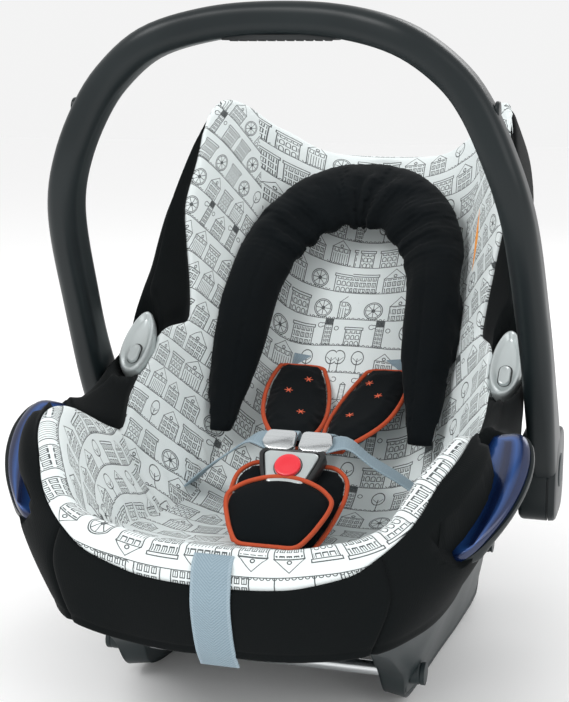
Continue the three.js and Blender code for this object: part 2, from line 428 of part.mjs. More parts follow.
const hubInside = joined([hubBar(HUB_IN - 60, BOSS_OUT + GAP, 26.1, 64), hubBar(BOSS_OUT, BOSS_OUT + 2.3, 19.3), hubBar(BOSS_OUT, HUB_OUTER + 20, 10.4, 32), hubBar(HUB_OUTER - 10, HUB_OUTER + 20, 16.4)]);
const studPlace = V(176 * KW, HUB.y + (-114 - 62) * KH, HUB.z + (493 - 158) * KH);
const stripBelow = box(-200, 200, HUB.y - 40 * KH - 300, HUB.y + 300, -50, HUB.z - HUB_RADIUS * 1.02);
handle = cut(handle, hubInside, mirrored(hubInside), stripBelow, box(-HUB_IN, HUB_IN, HUB.y - 60, HUB.y + 60, HUB.z - 60, HUB.z + 64));
const gripPlace = V(0, arch[0].y, arch[0].z - HANDLE_THICK / 2);
const gripSlot = box(-48 - GAP, 48 + GAP, gripPlace.y - 12 - GAP, gripPlace.y + 12 + GAP, gripPlace.z - 10, gripPlace.z + 3 + GAP);
const studHole = (s) => joined([barX(s * (studPlace.x - 14), s * (studPlace.x + 40), studPlace.y + 14, studPlace.z, 5 + GAP, 20), barX(s * (studPlace.x + 1.2), s * (studPlace.x + 40), studPlace.y + 14, studPlace.z, 8 + GAP, 20)]);
handle = cut(handle, gripSlot, studHole(1), studHole(-1));
add('carrying_handle', handle, DARK);
add('handle_grip', box(-48, 48, gripPlace.y - 12, gripPlace.y + 12, gripPlace.z - 2.6, gripPlace.z + 3), DARK);
const stud = joined([barX(studPlace.x - 13, studPlace.x + 2, studPlace.y + 14, studPlace.z, 5, 20), barX(studPlace.x + 1.5, studPlace.x + 5, studPlace.y + 14, studPlace.z, 8, 20)]);
pair('canopy_stud', stud, DARK);

// Handle buttons: cap, stem and locking gear in one moving piece, pushed out by a spring.
const gear = () => {
  const teeth = 12, out = [];
  for (let i = 0; i < teeth; i++) for (const [k, r] of [[0, 18.7], [0.5, 18.7], [0.5, 16.4], [1, 16.4]]) { const t = ((i + k * 0.98) / teeth) * Math.PI * 2; out.push([r * Math.cos(t), r * Math.sin(t)]); }
  return plate(out, 11.7, V(BOSS_OUT - 9.7, HUB.y, HUB.z), V(0, 1, 0), V(0, 0, 1), 0);
};
const button = joined([gear(), hubBar(BOSS_OUT + 1, HUB_OUTER - 4, 10, 32), hubBar(HUB_OUTER - 5.5, HUB_OUTER + 1, 16)]);
pair('handle_button', button, DARK);
const springFrom = BOSS_IN + 14 + GAP, springTo = BOSS_OUT - 9.7 - GAP, coil = 1.1, turns = 3.5;
const springFrames = Array.from({ length: turns * 10 + 1 }, (_, i) => {
  const t = (i / 10) * Math.PI * 2, radial = V(0, Math.cos(t), Math.sin(t));
  return { c: V(springFrom + coil + ((springTo - springFrom - 2 * coil) * i) / (turns * 10), HUB.y, HUB.z).addScaledVector(radial, 14), s: radial, u: V(1, 0, 0) };
});
pair('button_spring', sweep(springFrames, () => Array.from({ length: 4 }, (_, j) => [coil * Math.cos((j / 4) * Math.PI * 2), coil * Math.sin((j / 4) * Math.PI * 2)])), STEEL);

// ---- release bezels and sliders ------------------------------------------------------------------------------------------
const sliderSlot = plate(pill(11, 36), 30, BEZEL.clone().addScaledVector(bezelUp, -7), bezelSide, bezelUp, -2.4 - GAP);
pair('release_bezel', cut(bezelPlate(0, -9, 16, 3), sliderSlot), SILVER);
pair('release_slider', plate(pill(10.4, 21), 6, BEZEL.clone().addScaledVector(bezelUp, -14.2), bezelSide, bezelUp, -2.4, 1), SILVER);

// ---- blue vehicle-belt guides ------------------------------------------------------------------------------------------------
const finTop = at(196, -108, 234), finLow = at(180, -214, 163);
const finAlong = finLow.clone().sub(finTop), finLength = finAlong.length();
finAlong.normalize();
const finOut = V(1, 0, 0).addScaledVector(finAlong, -finAlong.x).normalize();
const finShape = [[0, -14], [0, 14], [8, 22], [30, 29], [58, 31], [84, 28], [106, 20], [122, 11], [131, -2], [128, -16]].map(([a, b]) => [(a * finLength) / 132, b]);
const fin = (from, thick, bevel, k = 1) => plate(finShape.map(([a, b]) => [a, b > 0 ? b * k : b]), thick, finTop, finAlong, finOut, from, bevel).subtract(onBucket);
const blueFaceUp = finAlong.clone().cross(finOut).z > 0;
pair('belt_guide', blueFaceUp ? fin(0, 7, 2) : fin(-7, 7, 2), BLUE);
pair('belt_guide_back', blueFaceUp ? fin(-10 - GAP, 10, 2, 0.9) : fin(GAP, 10, 2, 0.9), DARK);

// ---- rocker cross bars ------------------------------------------------------------------------------------------------------
const barEnd = (p) => { let lo = 90, hi = 200; const probe = onShell; for (let i = 0; i < 22; i++) { const m = (lo + hi) / 2; const b = barX(m, m + 0.4, p.y, p.z, 2, 8); if (b.intersect(probe).volume() > 1e-4) lo = m; else hi = m; } return hi; };
[['front', FRONT_BAR], ['rear', REAR_BAR]].forEach(([name, p]) => {
  const end = barEnd(p);
  add(name + '_bar', barX(-end + 1, end - 1, p.y, p.z, BAR_RADIUS, 24), STEEL);
  const cap = cut(barX(end - 8, end + 6, p.y, p.z, 9.5, 28), onShell, barX(0, end - 1 + GAP, p.y, p.z, BAR_RADIUS + GAP, 24));
  pair(name + '_bar_cap', cap, DARK);
});

// ---- fabric tab between hugger and wing ------------------------------------------------------------------------------------------
add('wing_tab', cut(plate([[-7, -46], [7, -46], [8, 0], [6, 46], [-6, 46]], 3.6, at(128, 176, 352), V(-0.5, -0.62, 0.6).normalize(), V(0, 0.5, 0.86).normalize(), -3, 0.6), onBucket), ORANGE);

// ---- stand the whole thing on the floor, centred -----------------------------------------------------------------------------------
const limits = new THREE.Box3().setFromObject(group);
group.children.forEach((m) => m.geometry.translate(-(limits.min.x + limits.max.x) / 2, -(limits.min.y + limits.max.y) / 2, -limits.min.z));

export default group;
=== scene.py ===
"""Infant car seat: printed padded bucket, black covers, head hugger, harness, belt guides and handle.

Lengths in the classes are millimetres in the maker's own frame: X across, Y to the head end and Z up.
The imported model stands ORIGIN_Y millimetres from it along Y. Meshes are written in metres.
"""

import json
import logging
import math
from dataclasses import dataclass, field
from enum import Enum
from typing import Callable, Iterable, Optional, Sequence

import bmesh
import bpy
import numpy as np
from mathutils import Matrix, Vector, noise
from mathutils.bvhtree import BVHTree

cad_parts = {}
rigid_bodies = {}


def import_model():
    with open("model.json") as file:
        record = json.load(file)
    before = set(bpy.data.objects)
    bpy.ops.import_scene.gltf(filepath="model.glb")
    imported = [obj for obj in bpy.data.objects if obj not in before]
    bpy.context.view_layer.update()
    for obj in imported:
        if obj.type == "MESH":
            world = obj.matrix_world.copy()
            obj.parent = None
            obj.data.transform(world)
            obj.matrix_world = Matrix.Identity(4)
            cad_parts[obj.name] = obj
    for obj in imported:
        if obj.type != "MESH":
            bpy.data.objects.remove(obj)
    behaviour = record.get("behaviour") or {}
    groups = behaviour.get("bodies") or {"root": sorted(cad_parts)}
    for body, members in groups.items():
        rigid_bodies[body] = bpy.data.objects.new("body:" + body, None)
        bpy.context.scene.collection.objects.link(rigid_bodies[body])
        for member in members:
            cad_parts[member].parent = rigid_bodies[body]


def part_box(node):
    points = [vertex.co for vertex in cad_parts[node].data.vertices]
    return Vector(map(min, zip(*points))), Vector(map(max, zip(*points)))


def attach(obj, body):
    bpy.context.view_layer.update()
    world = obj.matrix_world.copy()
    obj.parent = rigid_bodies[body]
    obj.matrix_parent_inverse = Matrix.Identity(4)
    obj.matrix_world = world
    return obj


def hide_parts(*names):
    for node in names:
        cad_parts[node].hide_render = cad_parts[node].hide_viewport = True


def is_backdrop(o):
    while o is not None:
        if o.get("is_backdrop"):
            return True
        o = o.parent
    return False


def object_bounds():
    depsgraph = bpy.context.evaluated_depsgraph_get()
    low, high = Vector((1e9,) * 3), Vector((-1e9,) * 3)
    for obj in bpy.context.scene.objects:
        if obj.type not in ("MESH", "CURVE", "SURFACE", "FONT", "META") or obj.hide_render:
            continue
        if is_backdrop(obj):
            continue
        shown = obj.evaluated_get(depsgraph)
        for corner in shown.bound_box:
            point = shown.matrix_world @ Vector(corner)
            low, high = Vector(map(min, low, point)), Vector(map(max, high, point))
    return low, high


logging.basicConfig(level=logging.INFO, format="%(name)s: %(message)s")
LOG = logging.getLogger("car_seat")

Point = Sequence[float]
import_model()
CAD_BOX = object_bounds()


def as_list(value: object) -> object:
    """Turns vectors and tuples into plain lists of numbers."""
    if isinstance(value, (int, float)):
        return float(value)
    return [as_list(x) for x in value]


def node_box(name: str) -> np.ndarray:
    """Gives a node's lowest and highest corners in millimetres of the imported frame."""
    return np.array([[float(c) for c in p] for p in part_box(name)]) * 1000.0


REAR_BAR_Y = 112.0
ORIGIN_Y = float(node_box("rear_bar")[:, 1].mean()) - REAR_BAR_Y


def metres(p: Point) -> tuple[float, float, float]:
    """Moves a point from the maker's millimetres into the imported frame's metres."""
    return (p[0] / 1000.0, (p[1] + ORIGIN_Y) / 1000.0, p[2] / 1000.0)


# ---- finishes ------------------------------------------------------------------------------------------
def linear(hex_colour: str) -> tuple[float, float, float, float]:
    """Turns an sRGB hex colour into linear RGBA.

    Args:
        hex_colour: Six hex digits.

    Returns:
        The linear colour with full alpha.
    """
    parts = [int(hex_colour[i:i + 2], 16) / 255 for i in (0, 2, 4)]
    return (*[c / 12.92 if c <= 0.04045 else ((c + 0.055) / 1.055) ** 2.4 for c in parts], 1.0)


class Expr:
    """A value in a material's node tree, with arithmetic that adds Math nodes."""

    tree: bpy.types.NodeTree

    def __init__(self, tree: bpy.types.NodeTree, socket: object) -> None:
        """Keeps the tree and the socket or number."""
        self.tree, self.socket = tree, socket

    def math(self, kind: str, *others: object) -> "Expr":
        """Adds one Math node with this value first."""
        node = self.tree.nodes.new("ShaderNodeMath")
        node.operation = kind
        for slot, value in zip(node.inputs, (self, *others)):
            value = value.socket if isinstance(value, Expr) else value
            if isinstance(value, (int, float)):
                slot.default_value = value
            else:
                self.tree.links.new(value, slot)
        return Expr(self.tree, node.outputs[0])

    def __add__(self, o: object) -> "Expr":
        """Sum."""
        return self.math("ADD", o)

    def __sub__(self, o: object) -> "Expr":
        """Difference."""
        return self.math("SUBTRACT", o)

    def __mul__(self, o: object) -> "Expr":
        """Product."""
        return self.math("MULTIPLY", o)

    def __truediv__(self, o: object) -> "Expr":
        """Quotient."""
        return self.math("DIVIDE", o)

    def high(self, o: object) -> "Expr":
        """The larger of two."""
        return self.math("MAXIMUM", o)

    def low(self, o: object) -> "Expr":
        """The smaller of two."""
        return self.math("MINIMUM", o)

    def size(self) -> "Expr":
        """Absolute value."""
        return self.math("ABSOLUTE")

    def over(self, o: object) -> "Expr":
        """1 where larger than o."""
        return self.math("GREATER_THAN", o)

    def under(self, o: object) -> "Expr":
        """1 where smaller than o."""
        return self.math("LESS_THAN", o)

    def near(self, o: object, by: float) -> "Expr":
        """1 within `by` of o."""
        return self.math("COMPARE", o, by)

    def wrap(self, period: float) -> "Expr":
        """Repeats in -period/2 to period/2."""
        return self.math("WRAP", period / 2, -period / 2)

    def long(self, o: "Expr") -> "Expr":
        """Length of the pair (self, o)."""
        return (self * self + o * o).math("SQRT")


def add_node(tree: bpy.types.NodeTree, kind: str, links: Optional[dict] = None,
        **settings: object) -> bpy.types.Node:
    """Adds a shader node.

    Args:
        tree: Material's node tree.
        kind: Node type without the ShaderNode prefix.
        links: Input name or number to socket, Expr or value.
        settings: Node properties.

    Returns:
        The new node.
    """
    node = tree.nodes.new("ShaderNode" + kind)
    for key, value in settings.items():
        setattr(node, key, value)
    for key, value in (links or {}).items():
        value = value.socket if isinstance(value, Expr) else value
        if isinstance(value, bpy.types.NodeSocket):
            tree.links.new(value, node.inputs[key])
        else:
            node.inputs[key].default_value = value
    return node


@dataclass(frozen=True)
class Finish:
    """A finish with its base colour, roughness and the size of its fine relief."""

    name: str
    colour: str
    tint: str
    roughness: float = 0.5
    metallic: float = 0.0
    coat: float = 0.0
    sheen: float = 0.0
    grain: float = 2500.0
    relief: float = 0.00006
    specular: float = 0.5

    def start(self) -> tuple[bpy.types.Material, bpy.types.NodeTree, bpy.types.Node]:
        """Makes the empty material and its shader with the constants set."""
        material = bpy.data.materials.new(self.name)
        material.use_nodes = True
        tree = material.node_tree
        shader = tree.nodes["Principled BSDF"]
        shader.inputs["Base Color"].default_value = linear(self.colour)
        shader.inputs["Roughness"].default_value = self.roughness
        shader.inputs["Metallic"].default_value = self.metallic
        shader.inputs["Coat Weight"].default_value = self.coat
        shader.inputs["Coat Roughness"].default_value = 0.12
        shader.inputs["Sheen Weight"].default_value = self.sheen
        shader.inputs["Sheen Roughness"].default_value = 0.45
        shader.inputs["Specular IOR Level"].default_value = self.specular
        material.diffuse_color = linear(self.colour)
        return material, tree, shader

    def vary(self, tree: bpy.types.NodeTree, shader: bpy.types.Node, scale: float = 18.0) -> None:
        """Mixes the base colour and its tint by slow noise, and varies the roughness a little."""
        place = add_node(tree, "TexCoord").outputs["Object"]
        slow = add_node(tree, "TexNoise", {"Vector": place, "Scale": scale, "Detail": 4.0})
        mix = add_node(tree, "Mix", {0: slow.outputs["Fac"], 6: linear(self.colour), 7: linear(self.tint)},
            data_type="RGBA")
        tree.links.new(mix.outputs[2], shader.inputs["Base Color"])
        rough = add_node(tree, "MapRange", {"Value": slow.outputs["Fac"], "To Min": self.roughness * 0.85,
            "To Max": min(1.0, self.roughness * 1.15)})
        tree.links.new(rough.outputs[0], shader.inputs["Roughness"])

    def build(self) -> bpy.types.Material:
        """Moulded plastic: slow variation with a fine leathery grain."""
        material, tree, shader = self.start()
        self.vary(tree, shader)
        if not self.relief:
            return material
        place = add_node(tree, "TexCoord").outputs["Object"]
        fine = add_node(tree, "TexVoronoi", {"Vector": place, "Scale": self.grain}, feature="SMOOTH_F1")
        bump = add_node(tree, "Bump",
            {"Height": fine.outputs["Distance"], "Strength": 0.25, "Distance": self.relief})
        tree.links.new(bump.outputs[0], shader.inputs["Normal"])
        return material


@dataclass(frozen=True)
class Metal(Finish):
    """Drawn or pressed metal with fine streaks along X."""

    def build(self) -> bpy.types.Material:
        """Streaked roughness and a faint relief."""
        material, tree, shader = self.start()
        place = add_node(tree, "TexCoord").outputs["Object"]
        stretched = add_node(tree, "Mapping", {"Vector": place, "Scale": (12.0, 900.0, 900.0)})
        streak = add_node(tree, "TexNoise", {"Vector": stretched.outputs[0], "Scale": 1.0, "Detail": 3.0})
        rough = add_node(tree, "MapRange", {"Value": streak.outputs["Fac"], "To Min": self.roughness * 0.7,
            "To Max": self.roughness * 1.4})
        tree.links.new(rough.outputs[0], shader.inputs["Roughness"])
        mix = add_node(tree, "Mix",
            {0: streak.outputs["Fac"], 6: linear(self.colour), 7: linear(self.tint)}, data_type="RGBA")
        tree.links.new(mix.outputs[2], shader.inputs["Base Color"])
        bump = add_node(tree, "Bump", {"Height": streak.outputs["Fac"], "Strength": 0.1, "Distance": 0.00005})
        tree.links.new(bump.outputs[0], shader.inputs["Normal"])
        return material


@dataclass(frozen=True)
class LacquerWithPaintedHighlight(Finish):
    """Pearly lacquer under a clear coat, with a painted highlight: lighter along the crown of the piece."""

    def build(self) -> bpy.types.Material:
        """Two blues mixed from rim to crown on the piece's UV map as a painted highlight, with slow noise."""
        material, tree, shader = self.start()
        parts = add_node(tree, "SeparateXYZ", {0: add_node(tree, "UVMap", uv_map="cloth").outputs[0]})
        share = Expr(tree, parts.outputs[1])
        place = add_node(tree, "TexCoord").outputs["Object"]
        slow = add_node(tree, "TexNoise", {"Vector": place, "Scale": 30.0, "Detail": 2.0})
        # Painted highlight: the lighter blue is strongest in a band along the crown and fades towards the rim
        # and the ridge; slow noise varies it.
        crown = (share - 0.42).size() * -2.6 + 0.85
        painted_highlight = crown.high(0.0) + Expr(tree, slow.outputs["Fac"]) * 0.3 - 0.12
        mix = add_node(tree, "Mix", {0: painted_highlight, 6: linear(self.colour), 7: linear(self.tint)}, data_type="RGBA")
        tree.links.new(mix.outputs[2], shader.inputs["Base Color"])
        flake = add_node(tree, "TexNoise", {"Vector": place, "Scale": 4200.0})
        bump = add_node(tree, "Bump", {"Height": flake.outputs["Fac"], "Strength": 0.05, "Distance": 0.00003})
        tree.links.new(bump.outputs[0], shader.inputs["Normal"])
        return material


@dataclass(frozen=True)
class Knit(Finish):
    """Knitted cloth whose ribs follow the piece's own UV map in metres."""

    rib: float = 0.0022

    def cloth(self, tree: bpy.types.NodeTree, shader: bpy.types.Node) -> None:
        """Adds the knit's relief."""
        uv = add_node(tree, "UVMap", uv_map="cloth").outputs[0]
        parts = add_node(tree, "SeparateXYZ", {0: uv})
        x, y = Expr(tree, parts.outputs[0]), Expr(tree, parts.outputs[1])
        k = 2 * math.pi / self.rib
        weave = (x * k).math("SINE") * (y * k).math("SINE")
        rib = (x * (k / 2)).math("SINE").size() * 0.6 + weave * 0.4
        place = add_node(tree, "TexCoord").outputs["Object"]
        fuzz = add_node(tree, "TexNoise", {"Vector": place, "Scale": 900.0, "Detail": 3.0})
        height = rib + Expr(tree, fuzz.outputs["Fac"]) * 0.7
        bump = add_node(tree, "Bump", {"Height": height, "Strength": 0.55, "Distance": self.relief})
        tree.links.new(bump.outputs[0], shader.inputs["Normal"])

    def build(self) -> bpy.types.Material:
        """The plain knit."""
        material, tree, shader = self.start()
        self.vary(tree, shader, 26.0)
        self.cloth(tree, shader)
        return material


@dataclass(frozen=True)
class Webbing(Knit):
    """Woven strap: ribs across, two selvedges, from UV x across (-1 to 1) and y along in metres."""

    def build(self) -> bpy.types.Material:
        """Herringbone relief with darker edges."""
        material, tree, shader = self.start()
        uv = add_node(tree, "UVMap", uv_map="cloth").outputs[0]
        parts = add_node(tree, "SeparateXYZ", {0: uv})
        x, y = Expr(tree, parts.outputs[0]), Expr(tree, parts.outputs[1])
        edge = x.size().over(0.84)
        twill = ((x * 38.0).size() + y * (2 * math.pi / 0.0026)).math("SINE")
        ribs = (y * (2 * math.pi / 0.0021)).math("SINE")
        height = twill * 0.6 + ribs * 0.4 + edge * 0.8
        bump = add_node(tree, "Bump", {"Height": height, "Strength": 0.6, "Distance": self.relief})
        tree.links.new(bump.outputs[0], shader.inputs["Normal"])
        shade = (twill * 0.5 + 0.5) * 0.45 + edge * 0.3
        mix = add_node(tree, "Mix", {0: shade, 6: linear(self.colour), 7: linear(self.tint)},
            data_type="RGBA")
        tree.links.new(mix.outputs[2], shader.inputs["Base Color"])
        return material


@dataclass(frozen=True)
class TownPrint(Knit):
    """White jersey printed with rows of small line-drawn buildings, trees and wheels."""

    ink: str = "23292c"
    cell: float = 27.0
    row: float = 31.0
    line: float = 0.46

    def motif_lines(self, tree: bpy.types.NodeTree) -> Expr:
        """Draws the print from the cloth's UV map.

        Args:
            tree: Material's node tree.

        Returns:
            1 on a printed line and 0 elsewhere.
        """
        uv = add_node(tree, "UVMap", uv_map="cloth").outputs[0]
        parts = add_node(tree, "SeparateXYZ", {0: uv})
        x, y = Expr(tree, parts.outputs[0]) * 1000.0, Expr(tree, parts.outputs[1]) * 1000.0
        half_row, half_cell, ink = self.row / 2, self.cell / 2, self.line
        row_id = (y / self.row).math("FLOOR")
        drift = x + row_id * (self.cell * 0.37)
        cell_id = (drift / self.cell).math("FLOOR")
        px = drift - cell_id * self.cell - half_cell
        py = y - row_id * self.row - half_row
        spot = add_node(tree, "CombineXYZ", {0: cell_id, 1: row_id})
        dice = add_node(tree, "TexWhiteNoise", {"Vector": spot.outputs[0]}, noise_dimensions="3D")
        kind = Expr(tree, dice.outputs["Value"])
        colours = add_node(tree, "SeparateColor", {0: dice.outputs["Color"]})
        vary_a, vary_b = Expr(tree, colours.outputs[0]), Expr(tree, colours.outputs[1])
        ax = px.size()
        # Facade with a floor height that differs from one cell to the next.
        eaves = vary_a * 6.0 + 1.0
        width = vary_b * 3.0 + 8.6
        wall = (ax - width).high(py - eaves).high(py * -1.0 - half_row)
        outline = wall.near(0.0, ink)
        inside = wall.under(-1.0)
        # Gable with a small round light, or a flat cornice.
        rise = (py - eaves) + ax * 0.95 - width * 0.95
        gable = rise.high(py * -1.0 + eaves)
        round_light = px.long(py - eaves - 2.6).near(1.5, ink)
        roof = gable.near(0.0, ink).high(round_light)
        cornice = (ax - width - 1.2).high((py - eaves - 1.3).size() - 1.3).near(0.0, ink)
        # Windows: square panes, tall panes, or arches in even bays.
        wx, wy = px.wrap(5.4), (py + 12.0).wrap(7.2)
        pane = (wx.size() - 1.7).high(wy.size() - 2.3).near(0.0, ink * 0.85)
        bar = wx.size().under(0.3) * wy.size().under(2.3)
        square = pane.high(bar) * inside
        arch_line = (wx.long((wy - 0.6).high(0.0)) - 1.9).high(wy * -1.0 - 2.4).near(0.0, ink * 0.85)
        arches = arch_line * inside
        stripes = px.wrap(2.6).size().under(0.3) * inside * py.under(-2.0)
        # Wheel, tree, tower and a pair of clouds.
        reach = px.long(py + 4.0)
        spokes = (py + 4.0).math("ARCTAN2", px).wrap(math.pi / 4).size() * reach
        wheel = reach.near(9.5, ink).high(reach.near(8.0, ink * 0.8)).high(reach.near(1.6, ink)).high(
            spokes.under(0.35) * reach.under(8.0))
        crown = px.long((py - 2.5) * 0.8)
        tree_line = crown.near(6.2,
            ink).high(ax.under(0.45) * py.under(2.0)).high((ax * 0.9 - py - 2.0).size().under(0.4)
            * crown.under(5.0))
        tower = (ax - 4.2).high(py - 9.0).near(0.0,
            ink).high((ax * 2.4 + py - 19.0).high(9.0 - 0.0).near(9.0, ink) * py.over(9.0) * ax.under(4.6))
        tower = tower.high((ax * 2.4 + py - 19.0).size().under(0.8) * py.over(9.0)).high(
            (px.wrap(2.8).size() - 0.7).high(py.wrap(4.6).size() - 1.3).near(0.0, ink * 0.8)
            * ax.under(3.4) * py.under(8.0))
        side_left = (px + 8.8).long(py - 8.0) - 2.6
        side_right = (px - 8.8).long(py - 5.0) - 2.2
        clouds = side_left.low((px + 5.8).long(py - 8.6) - 1.9).near(0.0,
            ink * 0.8).high(side_right.near(0.0, ink * 0.8))
        houses = outline.high(roof).high(square)
        halls = outline.high(cornice).high(arches)
        barns = outline.high(roof).high(stripes).high(arches * py.over(-2.0))
        blocks = outline.high(cornice).high(square)
        lines = houses * kind.under(0.3)
        lines = lines.high(halls * (kind.over(0.3) * kind.under(0.52)))
        lines = lines.high(barns * (kind.over(0.52) * kind.under(0.62)))
        lines = lines.high(blocks * (kind.over(0.62) * kind.under(0.76)))
        lines = lines.high(wheel * (kind.over(0.76) * kind.under(0.83)))
        lines = lines.high(tree_line * (kind.over(0.83) * kind.under(0.91)))
        lines = lines.high(tower.high(clouds) * kind.over(0.91))
        ground = (py + half_row).under(ink * 1.7)
        hedge = ((px.wrap(4.5)).long(py + half_row - 0.6) - 1.5).near(0.0, ink * 0.8) * vary_a.over(0.5)
        return lines.high(ground).high(hedge)

    def build(self) -> bpy.types.Material:
        """The print over a knitted ground."""
        material, tree, shader = self.start()
        lines = self.motif_lines(tree)
        place = add_node(tree, "TexCoord").outputs["Object"]
        slow = add_node(tree, "TexNoise", {"Vector": place, "Scale": 16.0, "Detail": 3.0})
        ground = add_node(tree, "Mix",
            {0: slow.outputs["Fac"], 6: linear(self.colour), 7: linear(self.tint)}, data_type="RGBA")
        fine = add_node(tree, "TexNoise", {"Vector": place, "Scale": 700.0})
        strength = lines * (Expr(tree, fine.outputs["Fac"]) * 0.3 + 0.75)
        mix = add_node(tree, "Mix", {0: strength, 6: ground.outputs[2], 7: linear(self.ink)},
            data_type="RGBA")
        tree.links.new(mix.outputs[2], shader.inputs["Base Color"])
        self.cloth(tree, shader)
        return material


SHELL = Finish("dark_grey_polypropylene", "20282a", "293234", 0.42, grain=1700.0, relief=0.00004,
    specular=0.3)
HANDLE = Finish("handle_polypropylene", "11181a", "182022", 0.36, relief=0.0, specular=0.3)
BUCKLE_BLACK = Finish("buckle_acetal", "17191a", "1f2223", 0.34, grain=2600.0, relief=0.00004)
SILVER = Finish("silver_lacquered_plastic", "b4bcbc", "c3caca", 0.3, 0.35, 0.35, grain=3400.0, relief=0.00002)
RED = Finish("red_acetal", "e0202f", "ea3340", 0.3, coat=0.3, grain=2600.0, relief=0.00002)
RUBBER = Finish("grip_rubber", "1a1d1e", "212526", 0.7, grain=1200.0, relief=0.0001)
STEEL = Metal("bright_steel", "d0d4d6", "e6e8e9", 0.22, 1.0)
TONGUE_STEEL = Metal("tongue_steel", "c6cacc", "e0e3e4", 0.2, 1.0)
# Deep navy lacquer; the lighter blue is a painted highlight along the crown of each guide.
BLUE = LacquerWithPaintedHighlight("pearl_blue_lacquer", "081940", "2a5598", 0.24, 0.35, 0.6)
BLACK = Knit("black_jersey", "080b0c", "0e1213", 0.85, sheen=0.03, relief=0.00022, specular=0.1)
BLACK_PAD = Knit("black_microfibre", "070b0d", "0d1215", 0.88, sheen=0.05, relief=0.00016, rib=0.0014,
    specular=0.1)
WHITE = TownPrint("white_town_print_jersey", "dde5e5", "e8eeee", 0.85, sheen=0.05, relief=0.00016,
    specular=0.2)
PIPING = Knit("orange_piping_cord", "b04527", "c25534", 0.75, sheen=0.05, relief=0.0001, rib=0.0012,
    specular=0.2)
THREAD = Finish("orange_thread", "dc5a3c", "ee7350", 0.7, grain=3000.0, relief=0.0001)
TAB_ORANGE = Knit("orange_tape", "dd8a34", "eda04a", 0.8, relief=0.0001, rib=0.0012)
STRAP = Webbing("grey_blue_webbing", "7c919d", "a1b3bd", 0.7, sheen=0.1, relief=0.0003)
_MADE: dict[str, bpy.types.Material] = {}


def material_of(finish: Finish) -> bpy.types.Material:
    """Builds a finish's material once."""
    if finish.name not in _MADE:
        _MADE[finish.name] = finish.build()
    return _MADE[finish.name]


# ---- mesh helpers --------------------------------------------------------------------------------------
class Side(Enum):
    """Side of the seat, by the sign of X."""

    RIGHT = 1
    LEFT = -1

    @property
    def word(self) -> str:
        """The side's word in the names of pieces."""
        return self.name.lower()


def make_object(name: str, points: np.ndarray, faces: Iterable[Sequence[int]], finish: Finish,
        uvs: Optional[np.ndarray] = None, face_uvs: Optional[list] = None) -> bpy.types.Object:
    """Makes a smooth-shaded mesh object.

    Args:
        name: Object name.
        points: Points in the maker's millimetres.
        faces: Vertex numbers of each face.
        finish: Its finish.
        uvs: One UV in metres for each point.
        face_uvs: UVs in metres for each corner of each face, instead of uvs.

    Returns:
        The new object.
    """
    mesh = bpy.data.meshes.new(name)
    mesh.from_pydata([metres(p) for p in points], [], [tuple(int(i) for i in f) for f in faces])
    mesh.update()
    layer = mesh.uv_layers.new(name="cloth")
    if face_uvs is not None:
        layer.data.foreach_set("uv", np.array([c for f in face_uvs for c in f], dtype=np.float32).ravel())
    elif uvs is not None:
        order = np.zeros(len(mesh.loops), dtype=np.int64)
        mesh.loops.foreach_get("vertex_index", order)
        layer.data.foreach_set("uv", np.asarray(uvs, dtype=np.float32)[order].ravel())
    mesh.materials.append(material_of(finish))
    mesh.polygons.foreach_set("use_smooth", [True] * len(mesh.polygons))
    obj = bpy.data.objects.new(name, mesh)
    bpy.context.scene.collection.objects.link(obj)
    return obj


def only(obj: bpy.types.Object) -> None:
    """Deselects everything and makes one object active."""
    for other in bpy.context.view_layer.objects:
        other.select_set(False)
    obj.select_set(True)
    bpy.context.view_layer.objects.active = obj


def apply_modifier(obj: bpy.types.Object, kind: str, **settings: object) -> None:
    """Adds a modifier, sets it and applies it."""
    only(obj)
    modifier = obj.modifiers.new(kind.lower(), kind)
    for key, value in settings.items():
        setattr(modifier, key, value)
    bpy.ops.object.modifier_apply(modifier=modifier.name)


def settle_place(obj: bpy.types.Object) -> bpy.types.Object:
    """Writes an object's place into its mesh."""
    only(obj)
    bpy.ops.object.transform_apply(location=True, rotation=True, scale=True)
    return obj


def outward(obj: bpy.types.Object) -> bpy.types.Object:
    """Merges doubles and turns the faces of a closed mesh outwards."""
    work = bmesh.new()
    work.from_mesh(obj.data)
    bmesh.ops.remove_doubles(work, verts=work.verts, dist=1e-6)
    bmesh.ops.recalc_face_normals(work, faces=work.faces)
    work.to_mesh(obj.data)
    work.free()
    return obj


def smooth_by_angle(obj: bpy.types.Object, degrees: float = 35.0) -> None:
    """Shades an object smooth except at sharp edges."""
    only(obj)
    bpy.ops.object.shade_smooth_by_angle(angle=math.radians(degrees))


